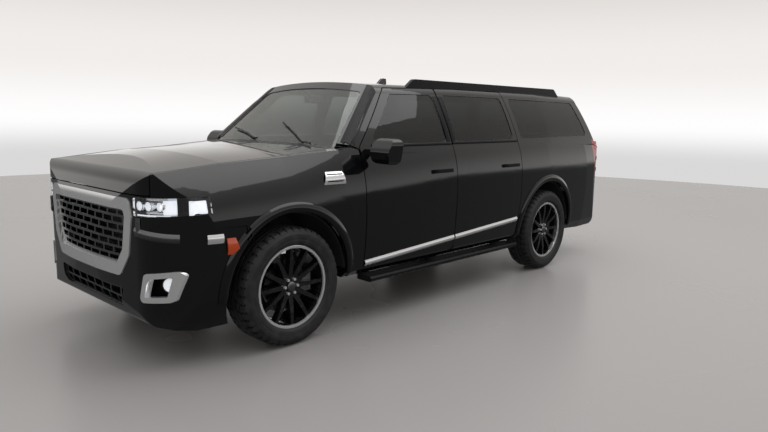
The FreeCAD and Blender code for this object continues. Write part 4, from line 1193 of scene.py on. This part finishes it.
def make_world(settings):
    """Pale room to the camera; to surfaces a bright ceiling over a dark lower half."""
    # Stops from straight down, at 0, to straight up, at 1
    seen_stops = (
        (0.0, (0.60, 0.59, 0.58)), (0.47, (0.70, 0.69, 0.69)), (0.495, (1.0, 0.99, 0.99)),
        (0.54, (0.88, 0.85, 0.83)), (0.62, (0.66, 0.625, 0.60)))
    lit_stops = (
        (0.0, (0.07, 0.07, 0.07)), (0.49, (0.12, 0.12, 0.12)), (0.52, (0.90, 0.88, 0.86)),
        (0.66, (0.50, 0.48, 0.46)), (0.95, (1.0, 0.98, 0.96)))
    world = bpy.data.worlds.new("studio")
    bpy.context.scene.world = world
    world.use_nodes = True
    tree = world.node_tree
    upwards = add_node(tree, "SeparateXYZ", "Z", vector=add_node(tree, "TexCoord", "Generated"))
    height = add_node(tree, "MapRange", "Result", value=upwards, from_min=-1.0)
    seen_colour = add_node(tree, "ValToRGB", "Color", {"stops": seen_stops}, fac=height)
    lit_colour = add_node(tree, "ValToRGB", "Color", {"stops": lit_stops}, fac=height)
    seen = tree.nodes["Background"]
    feed(tree, seen.inputs["Color"], seen_colour)
    seen.inputs["Strength"].default_value = 1.0
    lit = add_node(tree, "Background", color=lit_colour, strength=settings.room_light)
    to_camera = add_node(tree, "LightPath", "Is Camera Ray")
    both = add_node(tree, "MixShader", input0=to_camera, input1=lit, input2=Field(tree, seen.outputs[0]))
    feed(tree, tree.nodes["World Output"].inputs["Surface"], both)


# Settings, steps and panel
class VehicleLooks(bpy.types.PropertyGroup):
    """Sizes and colours of the vehicle's looks."""
    paint_colour: bpy.props.FloatVectorProperty(
        name="Paint", description="Colour of the body paint", subtype="COLOR",
        default=(0.0035, 0.0038, 0.0048))
    trim_colour: bpy.props.FloatVectorProperty(
        name="Bright trim", description="Colour of the chrome", subtype="COLOR", default=(0.88, 0.89, 0.90))
    wheel_colour: bpy.props.FloatVectorProperty(
        name="Wheels", description="Colour of the wheels' lacquer", subtype="COLOR",
        default=(0.022, 0.022, 0.024))
    leather_colour: bpy.props.FloatVectorProperty(
        name="Leather", description="Colour of the seats", subtype="COLOR", default=(0.016, 0.015, 0.014))
    screen_colour: bpy.props.FloatVectorProperty(
        name="Windscreen", description="Tint of the windscreen", subtype="COLOR", default=(0.86, 0.93, 0.87))
    tint_colour: bpy.props.FloatVectorProperty(
        name="Windows", description="Tint of the other windows", subtype="COLOR", default=(0.10, 0.11, 0.11))
    moulding_heights: bpy.props.FloatVectorProperty(
        name="Mouldings", description="Heights of the door mouldings at the front and the rear", size=2,
        default=(0.475, 0.600))
    moulding_width: bpy.props.FloatProperty(
        name="Moulding width", description="Width of the door mouldings", subtype="DISTANCE", default=0.042)
    vent_place: bpy.props.FloatVectorProperty(
        name="Wing vent", description="Place along and height of the wing vents", size=2,
        default=(-1.47, 1.15))
    marker_place: bpy.props.FloatVectorProperty(
        name="Side marker", description="Place along and height of the side markers", size=2,
        default=(-2.33, 0.775))
    rim_radius: bpy.props.FloatProperty(
        name="Rim radius", description="Radius of the rims at their edge", subtype="DISTANCE", default=0.292)
    hub_depth: bpy.props.FloatProperty(
        name="Hub depth", description="Depth of the hub's face behind the rim's edge", subtype="DISTANCE",
        default=0.030)
    arch_radius: bpy.props.FloatProperty(
        name="Arch radius", description="Radius of the wheel arches", subtype="DISTANCE", default=0.498)
    arch_gap: bpy.props.FloatProperty(
        name="Lip gap", description="Gap between an arch's edge and its lip", subtype="DISTANCE",
        default=0.004)
    arch_lip: bpy.props.FloatProperty(
        name="Lip reach", description="Reach of a lip from its arch's edge", subtype="DISTANCE",
        default=0.075)
    lamp_inner_x: bpy.props.FloatProperty(
        name="Lamp inner end", description="Half distance between the headlamps", subtype="DISTANCE",
        default=0.657)
    pillar_foot: bpy.props.FloatVectorProperty(
        name="Pillar foot", description="Half width and place along of the windscreen pillar's foot", size=2,
        default=(0.872, -1.265))
    pillar_head: bpy.props.FloatVectorProperty(
        name="Pillar head", description="Half width and place along of the windscreen pillar's head", size=2,
        default=(0.668, -0.800))


class StudioView(bpy.types.PropertyGroup):
    """Camera and light of the studio."""
    view_place: bpy.props.FloatVectorProperty(
        name="Camera", description="Place of the camera", subtype="TRANSLATION",
        default=(4.414, -4.564, 1.604))
    view_turn: bpy.props.FloatProperty(
        name="Turn", description="Camera's turn to the vehicle's right of +Y", subtype="ANGLE",
        default=math.radians(43.57))
    view_drop: bpy.props.FloatProperty(
        name="Drop", description="Camera's angle below level", subtype="ANGLE", default=math.radians(8.92))
    view_roll: bpy.props.FloatProperty(
        name="Roll", description="Camera's lean", subtype="ANGLE", default=math.radians(0.89))
    view_width: bpy.props.FloatProperty(
        name="Width", description="Camera's angle of view across", subtype="ANGLE",
        default=math.radians(61.6))
    floor_colour: bpy.props.FloatVectorProperty(
        name="Floor", description="Colour of the floor", subtype="COLOR", default=(0.37, 0.36, 0.36))
    lamp_power: bpy.props.FloatProperty(
        name="Lamp", description="Power of the lamp overhead", unit="POWER", default=180.0, min=0.0)
    lamp_place: bpy.props.FloatVectorProperty(
        name="Lamp place", description="Place of the lamp overhead", subtype="TRANSLATION",
        default=(1.0, 0.5, 6.0))
    lamp_size: bpy.props.FloatVectorProperty(
        name="Lamp size", description="Width and length of the lamp overhead", size=2, default=(5.0, 9.0))
    room_light: bpy.props.FloatProperty(
        name="Room light", description="Strength of the light from all round", default=1.0, min=0.0)


class VEHICLE_OT_materials(bpy.types.Operator):
    """Make the materials and paint the CAD nodes with them"""
    bl_idname = "vehicle.materials"
    bl_label = "Materials"

    def execute(self, context):
        make_materials(context.scene.vehicle_looks)
        paint_nodes()
        return {"FINISHED"}


class VEHICLE_OT_side_trim(bpy.types.Operator):
    """Lay the mouldings, seals, vents and arch lips on the sides"""
    bl_idname = "vehicle.side_trim"
    bl_label = "Side trim"

    def execute(self, context):
        settings = context.scene.vehicle_looks
        make_mouldings(settings)
        make_window_trim()
        make_wing_vents(settings)
        make_fuel_flap()
        make_arch_lips(settings)
        return {"FINISHED"}


class VEHICLE_OT_front_lamps(bpy.types.Operator):
    """Make the lamps of the front end"""
    bl_idname = "vehicle.front_lamps"
    bl_label = "Front lamps"

    def execute(self, context):
        settings = context.scene.vehicle_looks
        make_headlamps(settings)
        make_corner_trim(settings)
        make_lower_lamps()
        return {"FINISHED"}


class VEHICLE_OT_screen_trim(bpy.types.Operator):
    """Make the windscreen's pillar covers and wipers and the mirrors' glass"""
    bl_idname = "vehicle.screen_trim"
    bl_label = "Screen trim"

    def execute(self, context):
        make_screen_trim(context.scene.vehicle_looks)
        make_mirror_glass()
        return {"FINISHED"}


class VEHICLE_OT_wheels(bpy.types.Operator):
    """Make the tyres' treads and the wheels' trim"""
    bl_idname = "vehicle.wheels"
    bl_label = "Wheels"

    def execute(self, context):
        make_wheels(context.scene.vehicle_looks)
        return {"FINISHED"}


class VEHICLE_OT_cabin(bpy.types.Operator):
    """Make the seats and the fittings of the cabin"""
    bl_idname = "vehicle.cabin"
    bl_label = "Cabin"

    def execute(self, context):
        make_seats()
        make_dashboard_trim()
        make_console()
        make_cabin_mirror()
        make_door_trims()
        return {"FINISHED"}


class VEHICLE_OT_engine_bay(bpy.types.Operator):
    """Make what lies under the bonnet"""
    bl_idname = "vehicle.engine_bay"
    bl_label = "Engine bay"

    def execute(self, context):
        make_engine_cover()
        make_radiator()
        make_cooler()
        make_fan()
        return {"FINISHED"}


class VEHICLE_OT_tail_trim(bpy.types.Operator):
    """Make the trim of the rear end"""
    bl_idname = "vehicle.tail_trim"
    bl_label = "Tail trim"

    def execute(self, context):
        make_tail_lamps()
        make_exhaust_tips()
        make_hatch_trim()
        return {"FINISHED"}


class VEHICLE_OT_stage(bpy.types.Operator):
    """Make the floor, the lights and the camera"""
    bl_idname = "vehicle.stage"
    bl_label = "Stage"

    def execute(self, context):
        settings = context.scene.studio_view
        make_world(settings)
        make_floor(settings)
        make_lamp(settings)
        context.scene.view_settings.view_transform = "Standard"
        make_camera(settings)
        return {"FINISHED"}


class VEHICLE_PT_panel(bpy.types.Panel):
    """The vehicle's settings and the steps that dress it"""
    bl_idname = "VEHICLE_PT_panel"
    bl_label = "Vehicle"
    bl_space_type = "VIEW_3D"
    bl_region_type = "UI"
    bl_category = "Vehicle"

    def draw(self, context):
        for settings in (context.scene.vehicle_looks, context.scene.studio_view):
            for key in settings.__annotations__:
                self.layout.prop(settings, key)
        for step in STEPS:
            self.layout.operator(step.bl_idname)


STEPS = (
    VEHICLE_OT_materials, VEHICLE_OT_side_trim, VEHICLE_OT_front_lamps, VEHICLE_OT_screen_trim,
    VEHICLE_OT_wheels, VEHICLE_OT_cabin, VEHICLE_OT_engine_bay, VEHICLE_OT_tail_trim, VEHICLE_OT_stage)
CLASSES = (VehicleLooks, StudioView, *STEPS, VEHICLE_PT_panel)


def register():
    for made in CLASSES:
        bpy.utils.register_class(made)
    bpy.types.Scene.vehicle_looks = bpy.props.PointerProperty(type=VehicleLooks)
    bpy.types.Scene.studio_view = bpy.props.PointerProperty(type=StudioView)


def unregister():
    del bpy.types.Scene.studio_view
    del bpy.types.Scene.vehicle_looks
    for made in reversed(CLASSES):
        bpy.utils.unregister_class(made)


def main():
    register()
    for step in STEPS:
        group, name = step.bl_idname.split(".")
        getattr(getattr(bpy.ops, group), name)()


if __name__ == "__main__":
    main()
